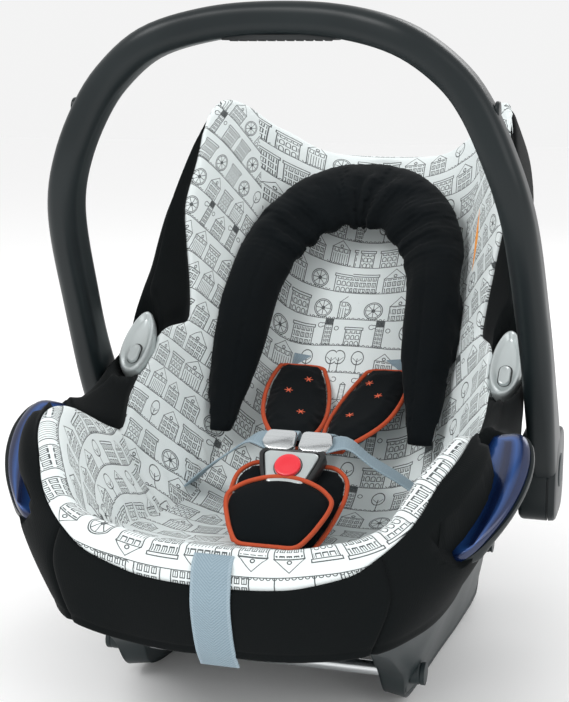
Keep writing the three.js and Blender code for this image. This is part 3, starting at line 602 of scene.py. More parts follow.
def primitive_bar(name: str, centre: Point, radius: float, length: float, finish: Finish, sides: int = 48,
        bevel: float = 0.8, grooves: Sequence[tuple[float, float]] = ()) -> bpy.types.Object:
    """A round bar along X with bevelled ends and turned grooves or collars.

    Args:
        name: Object name.
        centre: Middle in millimetres.
        radius: Bar radius.
        length: Bar length.
        finish: Its finish.
        sides: Facets round it.
        bevel: Width of the end bevels.
        grooves: Pairs of distance from the middle and change in radius.

    Returns:
        The new object.
    """
    bpy.ops.object.select_all(action="DESELECT")
    bpy.ops.mesh.primitive_cylinder_add(vertices=sides, radius=radius / 1000, depth=length / 1000,
        location=metres(centre), rotation=(0, math.pi / 2, 0))
    obj = bpy.context.object
    obj.name = obj.data.name = name
    settle_place(obj)
    work = bmesh.new()
    work.from_mesh(obj.data)
    axis = Vector(metres(centre))
    for along, change in grooves:
        for edge in (along - 0.9, along - 0.5, along + 0.5, along + 0.9):
            bmesh.ops.bisect_plane(work, geom=work.verts[:] + work.edges[:] + work.faces[:],
                plane_co=axis + Vector((edge / 1000, 0, 0)), plane_no=(1, 0, 0))
        for v in work.verts:
            if abs((v.co.x - axis.x) * 1000 - along) < 0.6:
                radial = Vector((0, v.co.y - axis.y, v.co.z - axis.z))
                v.co += radial.normalized() * change / 1000
    work.to_mesh(obj.data)
    work.free()
    if bevel:
        apply_modifier(obj, "BEVEL", width=bevel / 1000, segments=3, limit_method="ANGLE",
            angle_limit=math.radians(60))
    obj.data.uv_layers[0].name = "cloth"
    obj.data.materials.append(material_of(finish))
    smooth_by_angle(obj)
    return obj


def resample(points: Sequence[Point], count: int) -> np.ndarray:
    """Runs a smooth centripetal curve through points and samples it evenly.

    Args:
        points: Points in millimetres.
        count: Number of samples.

    Returns:
        Evenly spaced points.
    """
    p = np.array(points, dtype=float)
    p = np.vstack([2 * p[0] - p[1], p, 2 * p[-1] - p[-2]])
    out: list[np.ndarray] = []
    for i in range(1, len(p) - 2):
        a, b, c, d = p[i - 1:i + 3]
        t = np.cumsum([0, *[max(1e-6, np.linalg.norm(q - r)) ** 0.5 for q, r in ((b, a), (c, b), (d, c))]])
        for s in np.linspace(t[1], t[2], 24, endpoint=i == len(p) - 3):
            a1 = (t[1] - s) / (t[1] - t[0]) * a + (s - t[0]) / (t[1] - t[0]) * b
            a2 = (t[2] - s) / (t[2] - t[1]) * b + (s - t[1]) / (t[2] - t[1]) * c
            a3 = (t[3] - s) / (t[3] - t[2]) * c + (s - t[2]) / (t[3] - t[2]) * d
            b1 = (t[2] - s) / (t[2] - t[0]) * a1 + (s - t[0]) / (t[2] - t[0]) * a2
            b2 = (t[3] - s) / (t[3] - t[1]) * a2 + (s - t[1]) / (t[3] - t[1]) * a3
            out.append((t[2] - s) / (t[2] - t[1]) * b1 + (s - t[1]) / (t[2] - t[1]) * b2)
    fine = np.array(out)
    run = np.concatenate([[0], np.cumsum(np.linalg.norm(np.diff(fine, axis=0), axis=1))])
    want = np.linspace(0, run[-1], count)
    return np.column_stack([np.interp(want, run, fine[:, k]) for k in range(3)])


def frames_on(line: np.ndarray, side: Callable[[int, np.ndarray], np.ndarray]) -> list[tuple[np.ndarray,
        np.ndarray, np.ndarray]]:
    """Gives centre, side and up at each point of a line; side takes the number and the tangent."""
    tangents = np.gradient(line, axis=0)
    tangents /= np.linalg.norm(tangents, axis=1)[:, None]
    out = []
    for i, (c, t) in enumerate(zip(line, tangents)):
        s = side(i, t)
        s = s - t * s.dot(t)
        s /= np.linalg.norm(s)
        out.append((c, s, np.cross(t, s)))
    return out


def sweep(name: str, frames: list, ring: Callable[[int, float], Sequence[tuple[float, float]]],
        finish: Finish, strap: bool = False) -> bpy.types.Object:
    """Sweeps a closed section along frames, with capped ends.

    Args:
        name: Object name.
        frames: Centre, side and up at each step.
        ring: Section at a step, as (side, up) pairs; it takes the number and the share of the way.
        finish: Its finish.
        strap: Whether UV x runs across a strap from -1 to 1.

    Returns:
        The new object.
    """
    points, uvs, faces = [], [], []
    rings = [ring(i, i / (len(frames) - 1)) for i in range(len(frames))]
    m, run, last = len(rings[0]), 0.0, frames[0][0]
    for (c, s, u), section in zip(frames, rings):
        run += float(np.linalg.norm(c - last))
        last = c
        wide = max(abs(a) for a, _ in section) or 1.0
        around = 0.0
        for j, (a, b) in enumerate(section):
            points.append(c + s * a + u * b)
            if j:
                around += math.hypot(a - section[j - 1][0], b - section[j - 1][1])
            uvs.append((a / wide if strap else around / 1000, run / 1000))
    for i in range(len(frames) - 1):
        for j in range(m):
            k = (j + 1) % m
            faces.append((i * m + j, i * m + k, (i + 1) * m + k, (i + 1) * m + j))
    faces.append(tuple(range(m))[::-1])
    faces.append(tuple((len(frames) - 1) * m + j for j in range(m)))
    obj = make_object(name, np.array(points), faces, finish, uvs=np.array(uvs))
    return outward(obj)


def rounded(w: float, h: float, r: float, n: int = 5) -> list[tuple[float, float]]:
    """A rectangle with rounded corners."""
    out = []
    for sx, sy, q in ((1, 1, 0), (-1, 1, 1), (-1, -1, 2), (1, -1, 3)):
        for i in range(n + 1):
            t = (q + i / n) * math.pi / 2
            out.append((sx * (w / 2 - r) + r * math.cos(t), sy * (h / 2 - r) + r * math.sin(t)))
    return out


def ellipse(a: float, b: float, n: int = 24) -> list[tuple[float, float]]:
    """An ellipse."""
    return [(a * math.cos(2 * math.pi * j / n), b * math.sin(2 * math.pi * j / n)) for j in range(n)]


def mirror_copy(obj: bpy.types.Object, name: str) -> bpy.types.Object:
    """Copies a piece across the middle plane with its own mesh and faces turned out."""
    twin = obj.copy()
    twin.data = obj.data.copy()
    twin.name = twin.data.name = name
    bpy.context.scene.collection.objects.link(twin)
    twin.data.transform(Matrix.Diagonal((-1, 1, 1, 1)))
    twin.data.flip_normals()
    return twin


def place(obj: bpy.types.Object, body: str, *nodes: str, slot: str = "",
        fill: Optional[float] = None) -> bpy.types.Object:
    """Rides a piece on a body and hides the nodes it stands for."""
    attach(obj, body)
    if nodes:
        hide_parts(*nodes)
    LOG.info("%s: %d faces on %s", obj.name, len(obj.data.polygons), body)
    return obj


def inflate(obj: bpy.types.Object, voxel: float, pressure: float, cap: float,
        shrink: float = 0.0) -> bpy.types.Object:
    """Swells a closed pad with a cloth simulation and applies the result.

    Args:
        obj: The pad.
        voxel: Remesh size in metres.
        pressure: Cloth pressure.
        cap: Furthest that a point may move, in metres.
        shrink: Distance the surface is drawn in first, in metres.

    Returns:
        The swollen pad.
    """
    keep = obj.data.materials[0]
    apply_modifier(obj, "REMESH", mode="VOXEL", voxel_size=voxel)
    if shrink:
        normals = [v.normal.copy() for v in obj.data.vertices]
        for v, n in zip(obj.data.vertices, normals):
            v.co -= n * shrink
    start = np.array([v.co[:] for v in obj.data.vertices])
    only(obj)
    cloth = obj.modifiers.new("cloth", "CLOTH")
    cloth.settings.use_pressure = True
    cloth.settings.uniform_pressure_force = pressure
    cloth.settings.effector_weights.gravity = 0
    cloth.settings.quality = 5
    cloth.settings.tension_stiffness = cloth.settings.compression_stiffness = 12
    cloth.settings.bending_stiffness = 0.4
    scene = bpy.context.scene
    for step in range(1, 17):
        scene.frame_set(step)
    seen = obj.evaluated_get(bpy.context.evaluated_depsgraph_get()).to_mesh()
    end = np.array([v.co[:] for v in seen.vertices])
    obj.evaluated_get(bpy.context.evaluated_depsgraph_get()).to_mesh_clear()
    obj.modifiers.remove(cloth)
    scene.frame_set(1)
    move = end - start
    far = np.linalg.norm(move, axis=1)
    move *= np.minimum(1.0, cap / np.maximum(far, 1e-9))[:, None]
    obj.data.vertices.foreach_set("co", (start + move).ravel())
    obj.data.update()
    apply_modifier(obj, "SUBSURF", levels=1, render_levels=1)
    obj.data.materials.clear()
    obj.data.materials.append(keep)
    obj.data.polygons.foreach_set("use_smooth", [True] * len(obj.data.polygons))
    return obj


def box_uv(obj: bpy.types.Object) -> None:
    """Gives a pad a cloth UV in metres by the main direction of each face."""
    mesh = obj.data
    layer = mesh.uv_layers.get("cloth") or mesh.uv_layers.new(name="cloth")
    for face in mesh.polygons:
        n = [abs(c) for c in face.normal]
        k = n.index(max(n))
        a, b = ((1, 2), (0, 2), (0, 1))[k]
        for loop in face.loop_indices:
            co = mesh.vertices[mesh.loops[loop].vertex_index].co
            layer.data[loop].uv = (co[a], co[b])


# ---- the bucket's skin ---------------------------------------------------------------------------------
def bell(x: float, low: float, high: float, soft: float) -> float:
    """1 between low and high, falling smoothly to 0 over `soft` outside them."""
    d = max(low - x, x - high, 0.0)
    return 0.5 + 0.5 * math.cos(math.pi * min(1.0, d / soft))


@dataclass
class Bucket:
    """Skin of the bucket: thirteen stations round one half, eleven key points on each section."""

    guides: dict[str, list[tuple[float, float, float]]] = field(default_factory=lambda: {
        "spine": [(0, -232, 158), (0, -205, 148), (0, -175, 138), (0, -140, 130), (0, -100, 122),
        (0, -55, 116), (0, -5, 114), (0, 45, 132), (0, 100, 180), (0, 160, 240), (0, 220, 305),
        (0, 272, 362), (0, 318, 412)],
        "crease": [(0, -240, 160), (60, -238, 162), (98, -222, 160), (118, -180, 152), (122, -130, 140),
        (120, -70, 130), (112, -5, 128), (106, 50, 150), (100, 110, 205), (98, 170, 265), (92, 235, 335),
        (55, 280, 380), (0, 322, 415)],
        "rim": [(0, -256, 166), (65, -256, 170), (128, -248, 188), (170, -212, 228), (187, -150, 246),
        (187, -70, 232), (180, 10, 256), (175, 75, 322), (168, 125, 400), (148, 203, 475), (112, 280, 450),
        (62, 322, 426), (0, 334, 422)],
        "mid": [(0, -268, 130), (68, -266, 132), (143, -252, 146), (190, -202, 170), (200, -140, 190),
        (198, -60, 190), (187, 15, 205), (183, 100, 270), (178, 180, 350), (165, 265, 410),
        (135, 320, 410), (70, 348, 395), (0, 354, 390)],
        "hem": [(0, -255, 85), (65, -255, 87), (126, -251, 100), (159, -196, 108), (170, -120, 122),
        (172, -40, 135), (174, 35, 140), (174, 110, 190), (168, 190, 265), (155, 260, 330),
        (130, 310, 350), (70, 340, 352), (0, 347, 352)],
        "low": [(0, -236, 80), (62, -236, 81), (118, -226, 84), (126, -168, 44), (124, -134, 7),
        (130, -35, 0), (138, 50, 0), (142, 130, 0), (135, 206, 56), (128, 262, 145), (108, 305, 228),
        (62, 328, 292), (0, 336, 322)],
        "lowIn": [(0, -232, 79), (56, -229, 80), (98, -206, 80), (101, -160, 44), (103, -128, 8),
        (97, -35, 1), (96, 50, 1), (100, 128, 1), (98, 200, 59), (96, 256, 152), (88, 298, 236),
        (50, 323, 296), (0, 333, 321)],
        "root": [(0, -228, 79), (50, -212, 80), (80, -188, 81), (88, -148, 78), (88, -104, 74),
        (86, -40, 70), (88, 22, 73), (90, 78, 93), (90, 134, 140), (88, 198, 204), (78, 264, 280),
        (42, 306, 312), (0, 330, 323)],
        "belly": [(0, -224, 80), (0, -203, 80), (0, -178, 84), (0, -143, 83), (0, -100, 80), (0, -45, 76),
        (0, 5, 76), (0, 50, 88), (0, 100, 125), (0, 160, 185), (0, 220, 250), (0, 275, 302), (0, 326, 322)],
    })
    roll: tuple[float, ...] = (11, 12, 14, 15, 15, 14, 12, 12, 14, 15, 15, 14, 13)
    seam: tuple[tuple[float, float], ...] = ((0, 4.6), (1, 4.5), (1.6, 4.25), (1.85, 3.9), (2.35, 3.3),
        (2.85, 2.65), (3.4, 2.5), (4, 2.1), (4.65, 1.9), (5.3, 1.65), (5.6, 1.85), (6.2, 1.95),
        (6.75, 1.8), (7.5, 1.55), (7.8, 1.7), (7.95, 1.95), (8.5, 2.05), (9.05, 2.9), (9.7, 3.4),
        (10.55, 3.9), (12, 3.7))
    cover_wall: float = 2.4
    gap: float = 0.3
    shell_wall: float = 3.8
    steps: int = 12
    hip_seam: float = 5.25
    bezel: tuple[float, float, float] = (177.0, 31.0, 261.0)
    front_seam: float = 1.875

    def __post_init__(self) -> None:
        """Prepares the tables of the seam and of arc lengths."""
        self.cache: dict[float, list[np.ndarray]] = {}
        us = np.linspace(0, 12, 481)
        raw = np.interp(us, *zip(*self.seam))
        kernel = np.exp(-np.linspace(-2, 2, 21) ** 2)
        padded = np.concatenate([raw[10:0:-1], raw, raw[-2:-12:-1]])
        self.seam_table = (us, np.convolve(padded, kernel / kernel.sum(), "valid"))
        spine = np.array([self.skin(u, 0.0) for u in us[::4]])
        rim = np.array([self.skin(u, 3.0) for u in us[::4]])
        self.spine_run = (us[::4],
            np.concatenate([[0], np.cumsum(np.linalg.norm(np.diff(spine, axis=0), axis=1))]))
        self.rim_run = (us[::4],
            np.concatenate([[0], np.cumsum(np.linalg.norm(np.diff(rim, axis=0), axis=1))]))

    @staticmethod
    def spline(p0: np.ndarray, p1: np.ndarray, p2: np.ndarray, p3: np.ndarray, t: float) -> np.ndarray:
        """Point on a uniform curve between p1 and p2."""
        return 0.5 * (2 * p1 + (p2 - p0) * t + (2 * p0 - 5 * p1 + 4 * p2 - p3) * t * t
            + (3 * p1 - p0 - 3 * p2 + p3) * t ** 3)

    def guide(self, name: str, u: float) -> np.ndarray:
        """Point of a guide curve at a station number."""
        points = self.guides[name]
        i = min(int(u), 11)

        def get(k: int) -> np.ndarray:
            """Guide point, mirrored or run on past the ends."""
            if name in ("spine", "belly"):
                if k < 0:
                    return 2 * np.array(points[0], float) - np.array(points[1], float)
                if k > 12:
                    return 2 * np.array(points[12], float) - np.array(points[11], float)
                return np.array(points[k], float)
            p = np.array(points[-k if k < 0 else 24 - k if k > 12 else k], float)
            if k < 0 or k > 12:
                p[0] = -p[0]
            return p

        p = self.spline(get(i - 1), get(i), get(i + 1), get(i + 2), u - i)
        if name not in ("spine", "belly"):
            p[2] = max(p[2], 0.0 if name == "low" else 0.4)
        return p

    def section(self, u: float) -> list[np.ndarray]:
        """Key points of a section: spine, crease, rimIn, crest, rimOut, mid, hem, low, lowIn, root, belly."""
        key = round(u, 6)
        if key in self.cache:
            return self.cache[key]
        crease, crest, mid = (self.guide(n, u) for n in ("crease", "rim", "mid"))
        a = (crease - crest) / np.linalg.norm(crease - crest)
        b = (mid - crest) / np.linalg.norm(mid - crest)
        bis = (a + b) / np.linalg.norm(a + b)
        pin, pout = b - a * a.dot(b), a - b * a.dot(b)
        r = float(np.interp(u, range(13), self.roll))
        centre = crest + bis * r
        keys = [self.guide("spine", u), crease, centre - pin / np.linalg.norm(pin) * r, crest,
            centre - pout / np.linalg.norm(pout) * r, mid]
        keys += [self.guide(n, u) for n in ("hem", "low", "lowIn", "root", "belly")]
        self.cache[key] = keys
        return keys

    def skin(self, u: float, v: float) -> np.ndarray:
        """Point of the smooth outer skin, kept once it is known."""
        key = ("skin", round(u, 6), round(v, 6))
        if key not in self.cache:
            self.cache[key] = self.skin_point(u, v)
        return self.cache[key]

    def skin_point(self, u: float, v: float) -> np.ndarray:
        """Point on the skin of the +X half."""
        k = self.section(u)
        i = max(0, min(int(v), 9))
        if i >= 6:
            return k[i] + (k[i + 1] - k[i]) * (v - i)
        before = k[i - 1] if i else k[1] * (-1, 1, 1)
        return self.spline(before, k[i], k[i + 1], k[i + 2], v - i)

    def normal(self, u: float, v: float) -> np.ndarray:
        """Outward normal of the skin."""
        h, lo = 0.03, 0.012
        du = self.skin(min(u + h, 12.0), v) - self.skin(max(u - h, 0.0), v)
        base = math.floor(v) if v >= 6 else 0.0
        top = base + 1.0 if v >= 6 else 6.0
        dv = self.skin(u, min(v + lo, top - 1e-6)) - self.skin(u, max(v - lo, base))
        n = np.cross(dv, du)
        if u in (0.0, 12.0) or v in (0.0, 10.0):
            n[0] = 0.0
        return n / max(1e-9, np.linalg.norm(n))

    def seam_at(self, u: float) -> float:
        """Where the white fabric ends at a station."""
        return float(np.interp(u, *self.seam_table))

    def outer_point(self, u: float, v: float, offset: float) -> np.ndarray:
        """Point at a distance off the skin."""
        return self.skin(u, v) + self.normal(u, v) * offset

    def slab(self, name: str, us: Sequence[float], columns: Callable[[float], list[tuple[float, int]]],
            outer: Callable[[float, float], float], inner: Callable[[float, float], float], finish: Finish,
            cloth: Callable[[float, float, int], tuple[float, float]],
            open_ends: bool) -> tuple[bpy.types.Object, float]:
        """A closed layer on the skin.

        Args:
            name: Object name.
            us: Station numbers; a negative one is on the -X half.
            columns: Section parameters and sides at a station.
            outer: Distance of the outer face off the skin.
            inner: Distance of the inner face off the skin.
            finish: Its finish.
            cloth: UV in millimetres, from middle station, middle parameter choice and point.
            open_ends: Whether the first and last stations meet their mirror image instead of a wall.

        Returns:
            The object and its outer area in square metres.
        """
        points, params = [], []
        for layer in (outer, inner):
            for u in us:
                for v, side in columns(abs(u)):
                    p = self.outer_point(abs(u), v, layer(abs(u), v))
                    way = side * (-1 if u < 0 else 1)
                    points.append((0.0 if abs(p[0]) < 1e-4 else p[0] * way, p[1], p[2]))
                    params.append((abs(u), v, way))
        n, m = len(us), len(columns(abs(us[0])))
        at = lambda layer, i, j: layer * n * m + i * m + j
        faces = []
        for i in range(n - 1):
            for j in range(m - 1):
                faces.append((at(0, i, j), at(0, i + 1, j), at(0, i + 1, j + 1), at(0, i, j + 1)))
                faces.append((at(1, i, j), at(1, i, j + 1), at(1, i + 1, j + 1), at(1, i + 1, j)))
            for j in (0, m - 1):
                faces.append((at(0, i, j), at(1, i, j), at(1, i + 1, j), at(0, i + 1, j)))
        if not open_ends:
            for i in (0, n - 1):
                faces += [(at(0, i, j), at(0, i, j + 1), at(1, i, j + 1), at(1, i, j)) for j in range(m - 1)]
        array = np.array(points)
        area = 0.0
        for a, b, c, d in faces[:]:
            if max(a, b, c, d) < n * m:
                area += 0.5 * float(np.linalg.norm(np.cross(array[c] - array[a], array[d] - array[b])))
        face_uvs = []
        for f in faces:
            mu, mv = (sum(params[i][k] for i in f) / len(f) for k in (0, 1))
            way = 1 if sum(params[i][2] for i in f) >= 0 else -1
            face_uvs.append([tuple(c / 1000 for c in cloth(mu, mv, way, params[i][0], params[i][1]))
                for i in f])
        obj = make_object(name, array, faces, finish, face_uvs=face_uvs)
        return outward(obj), area / 1e6

    def section_run(self, u: float, v: float) -> float:
        """Arc length along a section from the middle of the pan."""
        key = ("table", round(u, 6))
        if key not in self.cache:
            vs = np.linspace(0, 6, 49)
            line = np.array([self.skin(u, float(x)) for x in vs])
            self.cache[key] = (vs,
                np.concatenate([[0], np.cumsum(np.linalg.norm(np.diff(line, axis=0), axis=1))]))
        return float(np.interp(v, *self.cache[key]))

    def print_place(self, mu: float, mv: float, way: int, u: float, v: float) -> tuple[float, float]:
        """Where the cut panels of printed cloth lie: pan and back, hip and lip strip, wings."""
        run = self.section_run(u, v)
        spine = float(np.interp(u, *self.spine_run))
        if mv < 1.0:
            return way * run + 900, spine * 0.97
        if mu < self.hip_seam:
            return way * float(np.interp(u, *self.rim_run)) * 0.95 + 1900 + 7 * way, run - self.section_run(
                u, 3.0) + 420
        lean, face = np.array([0, 0.735, 0.678]), np.array([0, -0.678, 0.735])
        p = self.skin(u, v)
        if mu > 9.6:
            return way * float(p[0]) + 900, float(self.skin(u, min(v, 1.3)).dot(lean)) + max(0.0,
                run - self.section_run(u, 1.3))
        return way * (float(self.skin(u, min(v, 1.5)).dot(face))
            + max(0.0, run - self.section_run(u, 1.5))) + 3100, float(p.dot(lean))

    def puff(self, u: float, v: float) -> float:
        """Padding, sewn grooves and soft wrinkles of the white fabric off the skin."""
        end = self.seam_at(u)
        p = self.skin(u, v)
        wave = noise.noise(Vector(p) * 0.021) * 1.5 + noise.noise(Vector(p) * 0.06 + Vector((7, 3, 1))) * 0.55
        out = 0.4 + wave * min(1.0, (end - v) * 4)
        out += 9.5 * bell(u, 2.9, 4.6, 0.8) * bell(v, 1.3, min(2.1, end - 0.3), 0.45)
        out += 2.6 * bell(u, 6.6, 10.2, 0.9) * bell(v, 1.4, 2.6, 0.4)
        out += 3.0 * bell(u, 0.0, 1.8, 1.0) * bell(v, 1.6, 2.6, 0.5)
        out -= 3.4 * math.exp(-((v - 1.0) / 0.06) ** 2) * bell(u, 0.0, 11.0, 0.8)
        out -= 2.4 * math.exp(-((u - self.hip_seam) / 0.035) ** 2) * bell(v, 1.1, 9, 0.15)
        # Small gathers along the crease of the pan.
        out += 1.0 * math.sin(u * 30 + 2 * math.sin(u * 7)) * math.exp(-((v - 1.12) / 0.2) ** 2) * bell(u,
            0.3, 7.0, 1.0)
        return out - 1.9 * math.exp(-(max(0.0, end - v) / 0.05) ** 2)

    def liner_piece(self) -> bpy.types.Object:
        """The printed inner, from the pan over the rim to the seam."""
        us = [i / self.steps for i in range(12 * self.steps + 1)]

        def columns(u: float) -> list[tuple[float, int]]:
            """Parameters from the seam of one half to the seam of the other."""
            end = self.seam_at(u)
            half = [j / 8 for j in range(8)] + [1 + (end - 1) * (j / 30) ** 0.92 for j in range(31)]
            return [(v, -1) for v in half[:0:-1]] + [(v, 1) for v in half]

        obj, _ = self.slab("printed_liner", us, columns, self.puff, lambda u, v: -4.6
            + 2.8 * min(1.0, max(0.0, v - 1.6)), WHITE, self.print_place, True)
        self.sink_under_bezels(obj)
        return place(obj, "seat", "seat_liner", "foam_bucket", slot="white_fabric", fill=0.45)

    def cover_offset(self, u: float, v: float) -> float:
        """Outer face of the black covers: sewn edge, hem roll and soft wrinkles."""
        start = self.seam_at(u)
        p = self.skin(u, v)
        out = 0.5 + noise.noise(Vector(p) * 0.028) * 0.7
        out += 5.0 * bell(u, 5.9, 7.2, 1.2) * bell(v, 3.7, 4.3, 0.7)
        out -= 1.9 * math.exp(-(max(0.0, v - start) / 0.05) ** 2)
        out -= 1.5 * math.exp(-((u - self.front_seam) / 0.03) ** 2)
        out += 0.9 * math.exp(-((v - 5.93) / 0.05) ** 2) - 0.8 * math.exp(-((v - 5.8) / 0.025) ** 2)
        return out - 1.3 * math.exp(-(max(0.0, 6.0 - v) / 0.02) ** 2)

    def sink_under_bezels(self, obj: bpy.types.Object) -> None:
        """Presses fabric down under the silver bezels on the wing rims."""
        up = np.array([0, 59.0, 50.0]) / math.hypot(59, 50)
        out = np.array([0, -up[2], up[1]])
        for v in obj.data.vertices:
            p = np.array(v.co[:]) * 1000 - (0, ORIGIN_Y, 0)
            d = p - np.array(self.bezel)
            d[0] = abs(p[0]) - self.bezel[0]
            reach = math.hypot(d[0] / 14.8, d.dot(up) / 37.6)
            depth = d.dot(out)
            if reach < 1.4 and -30 < depth < 40:
                target = -6.0 if reach < 1.06 else -6.0 + (reach - 1.06) / 0.34 * 22
                if depth > target:
                    v.co -= Vector(out * (depth - target)) / 1000
        obj.data.update()

    def sink_under_guides(self, obj: bpy.types.Object) -> None:
        """Presses fabric down under the blades of the blue belt guides."""
        top, low = np.array(BeltGuides.top, float), np.array(BeltGuides.low, float)
        along = (low - top) / np.linalg.norm(low - top)
        out = np.array([1.0, 0, 0]) - along * along[0]
        out /= np.linalg.norm(out)
        face = np.cross(along, out)
        for v in obj.data.vertices:
            p = np.array(v.co[:]) * 1000 - (0, ORIGIN_Y, 0)
            d = np.array([abs(p[0]), p[1], p[2]]) - top
            reach = math.hypot((d.dot(along) - 64) / 70, (d.dot(out) - 7) / 26)
            depth = d.dot(face)
            if reach < 1.4 and -20 < depth < 40:
                target = -1.2 if reach < 0.98 else -1.2 + (reach - 0.98) / 0.42 * 26
                if depth > target:
                    move = face * (depth - target)
                    v.co -= Vector((move[0] * (1 if p[0] > 0 else -1), move[1], move[2])) / 1000
        obj.data.update()

    def cover_piece(self, name: str, node: str, us: Sequence[float],
            open_ends: bool = False) -> bpy.types.Object:
        """One black cover from the seam to the hem, as a stretched sheet."""
        def columns(u: float) -> list[tuple[float, int]]:
            """Parameters from the seam to the hem."""
            start = self.seam_at(u)
            return [(start + (6.0 - start) * j / 44, 1) for j in range(45)]

        cloth = lambda mu, mv, way, u, v: (way * float(np.interp(u, *self.rim_run)), self.section_run(u, v))
        obj, area = self.slab(name, us, columns, self.cover_offset, lambda u, v: -1.7, BLACK, cloth,
            open_ends)
        self.sink_under_bezels(obj)
        self.sink_under_guides(obj)
        length = abs(float(np.interp(abs(us[-1]), *self.rim_run))
            - float(np.interp(abs(us[0]), *self.rim_run)) * (-1 if us[0] * us[-1] < 0 else 1)) / 1000
        area / length / 0.8
        return place(obj, "seat", node, slot="black_fabric")

    def shell_piece(self) -> bpy.types.Object:
        """The moulded lower shell with its two rockers."""
        us = [i / self.steps for i in range(12 * self.steps + 1)]
        half = [5.6, 5.75, 5.9, 5.995, 6.12, 6.3, 6.55, 6.8, 6.93, 6.975, 7.03, 7.1, 7.5, 7.9, 7.97, 8.02,
            8.05, 8.25, 8.5, 8.75, 8.95, 9.03, 9.1, 9.4, 9.7, 10.0]
        columns = lambda u: [(v, 1) for v in half] + [(v, -1) for v in half[-2::-1]]
        depth = self.cover_wall + self.gap

        def outer(u: float, v: float) -> float:
            """Face of the moulding, with a shallow moulded step below the hem."""
            return -depth + 0.9 * bell(v, 6.32, 6.78, 0.12) * bell(u, 3.5, 10.5, 0.6)

        obj, _ = self.slab("shell_lower", us, columns, outer, lambda u, v: -depth - self.shell_wall, SHELL,
            lambda mu, mv, way, u, v: (0.0, 0.0), True)
        smooth_by_angle(obj, 50)
        return place(obj, "seat", "seat_shell", slot="shell_plastic")

    def build(self) -> bpy.types.Object:
        """Builds the shell, the liner and the covers; gives the liner."""
        self.shell_piece()
        liner = self.liner_piece()
        k = self.steps * 2
        front = [i / k for i in range(-int(self.front_seam * k), int(self.front_seam * k) + 1)]
        side = [self.front_seam + (12 - self.front_seam) * i / 130 for i in range(131)]
        self.cover_piece("front_band", "front_cover", front)
        self.cover_piece("side_cover_cloth_right", "side_cover_right", side)
        self.cover_piece("side_cover_cloth_left", "side_cover_left", [-u for u in side])
        return liner


def dress(node: str, finish: Finish) -> None:
    """Gives a carried-over CAD node its finish."""
    obj = bpy.data.objects[node]
    if not obj.material_slots:
        obj.data.materials.append(None)
    for slot in obj.material_slots:
        slot.material = material_of(finish)


def surface_of(obj: bpy.types.Object) -> BVHTree:
    """Search tree of a piece's surface."""
    work = bmesh.new()
    work.from_mesh(obj.data)
    tree = BVHTree.FromBMesh(work)
    work.free()
    return tree


def keep_off(obj: bpy.types.Object, surface: BVHTree, gap: float = 0.5) -> None:
    """Pushes points of a soft piece out of a surface to at least `gap` millimetres."""
    for v in obj.data.vertices:
        spot, normal, _, _ = surface.find_nearest(v.co, 0.08)
        if spot is not None and (v.co - spot).dot(normal) < gap / 1000:
            v.co = spot + normal * gap / 1000
    obj.data.update()


# ---- hard details built up one by one ------------------------------------------------------------------
def round_outline(points: Sequence[tuple[float, float]], radius: float,
        n: int = 4) -> list[tuple[float, float]]:
    """Rounds the corners of an outline by curves that touch both sides."""
    out = []
    count = len(points)
    for i, p in enumerate(points):
        a, b = np.array(points[i - 1], float), np.array(points[(i + 1) % count], float)
        c = np.array(p, float)
        la, lb = np.linalg.norm(a - c), np.linalg.norm(b - c)
        r = min(radius, la * 0.45, lb * 0.45)
        s, e = c + (a - c) / la * r, c + (b - c) / lb * r
        out += [tuple((1 - t) ** 2 * s + 2 * t * (1 - t) * c + t * t * e) for t in np.linspace(0, 1, n + 1)]
    return out


def egg(a: float, b: float, n: int = 56, lean: float = 0.16) -> list[tuple[float, float]]:
    """An egg-shaped outline, narrower at the top."""
    return [(a * math.cos(t) * (1 - lean * math.sin(t)), b * math.sin(t))
        for t in (2 * math.pi * i / n for i in range(n))]


def pill(w: float, h: float, n: int = 10) -> list[tuple[float, float]]:
    """An upright stadium outline."""
    r = w / 2
    return [(r * math.cos(math.pi * i / n), h / 2 - r + r * math.sin(math.pi * i / n))
        for i in range(n + 1)] + [(r * math.cos(math.pi + math.pi * i / n),
        -h / 2 + r + r * math.sin(math.pi + math.pi * i / n)) for i in range(n + 1)]


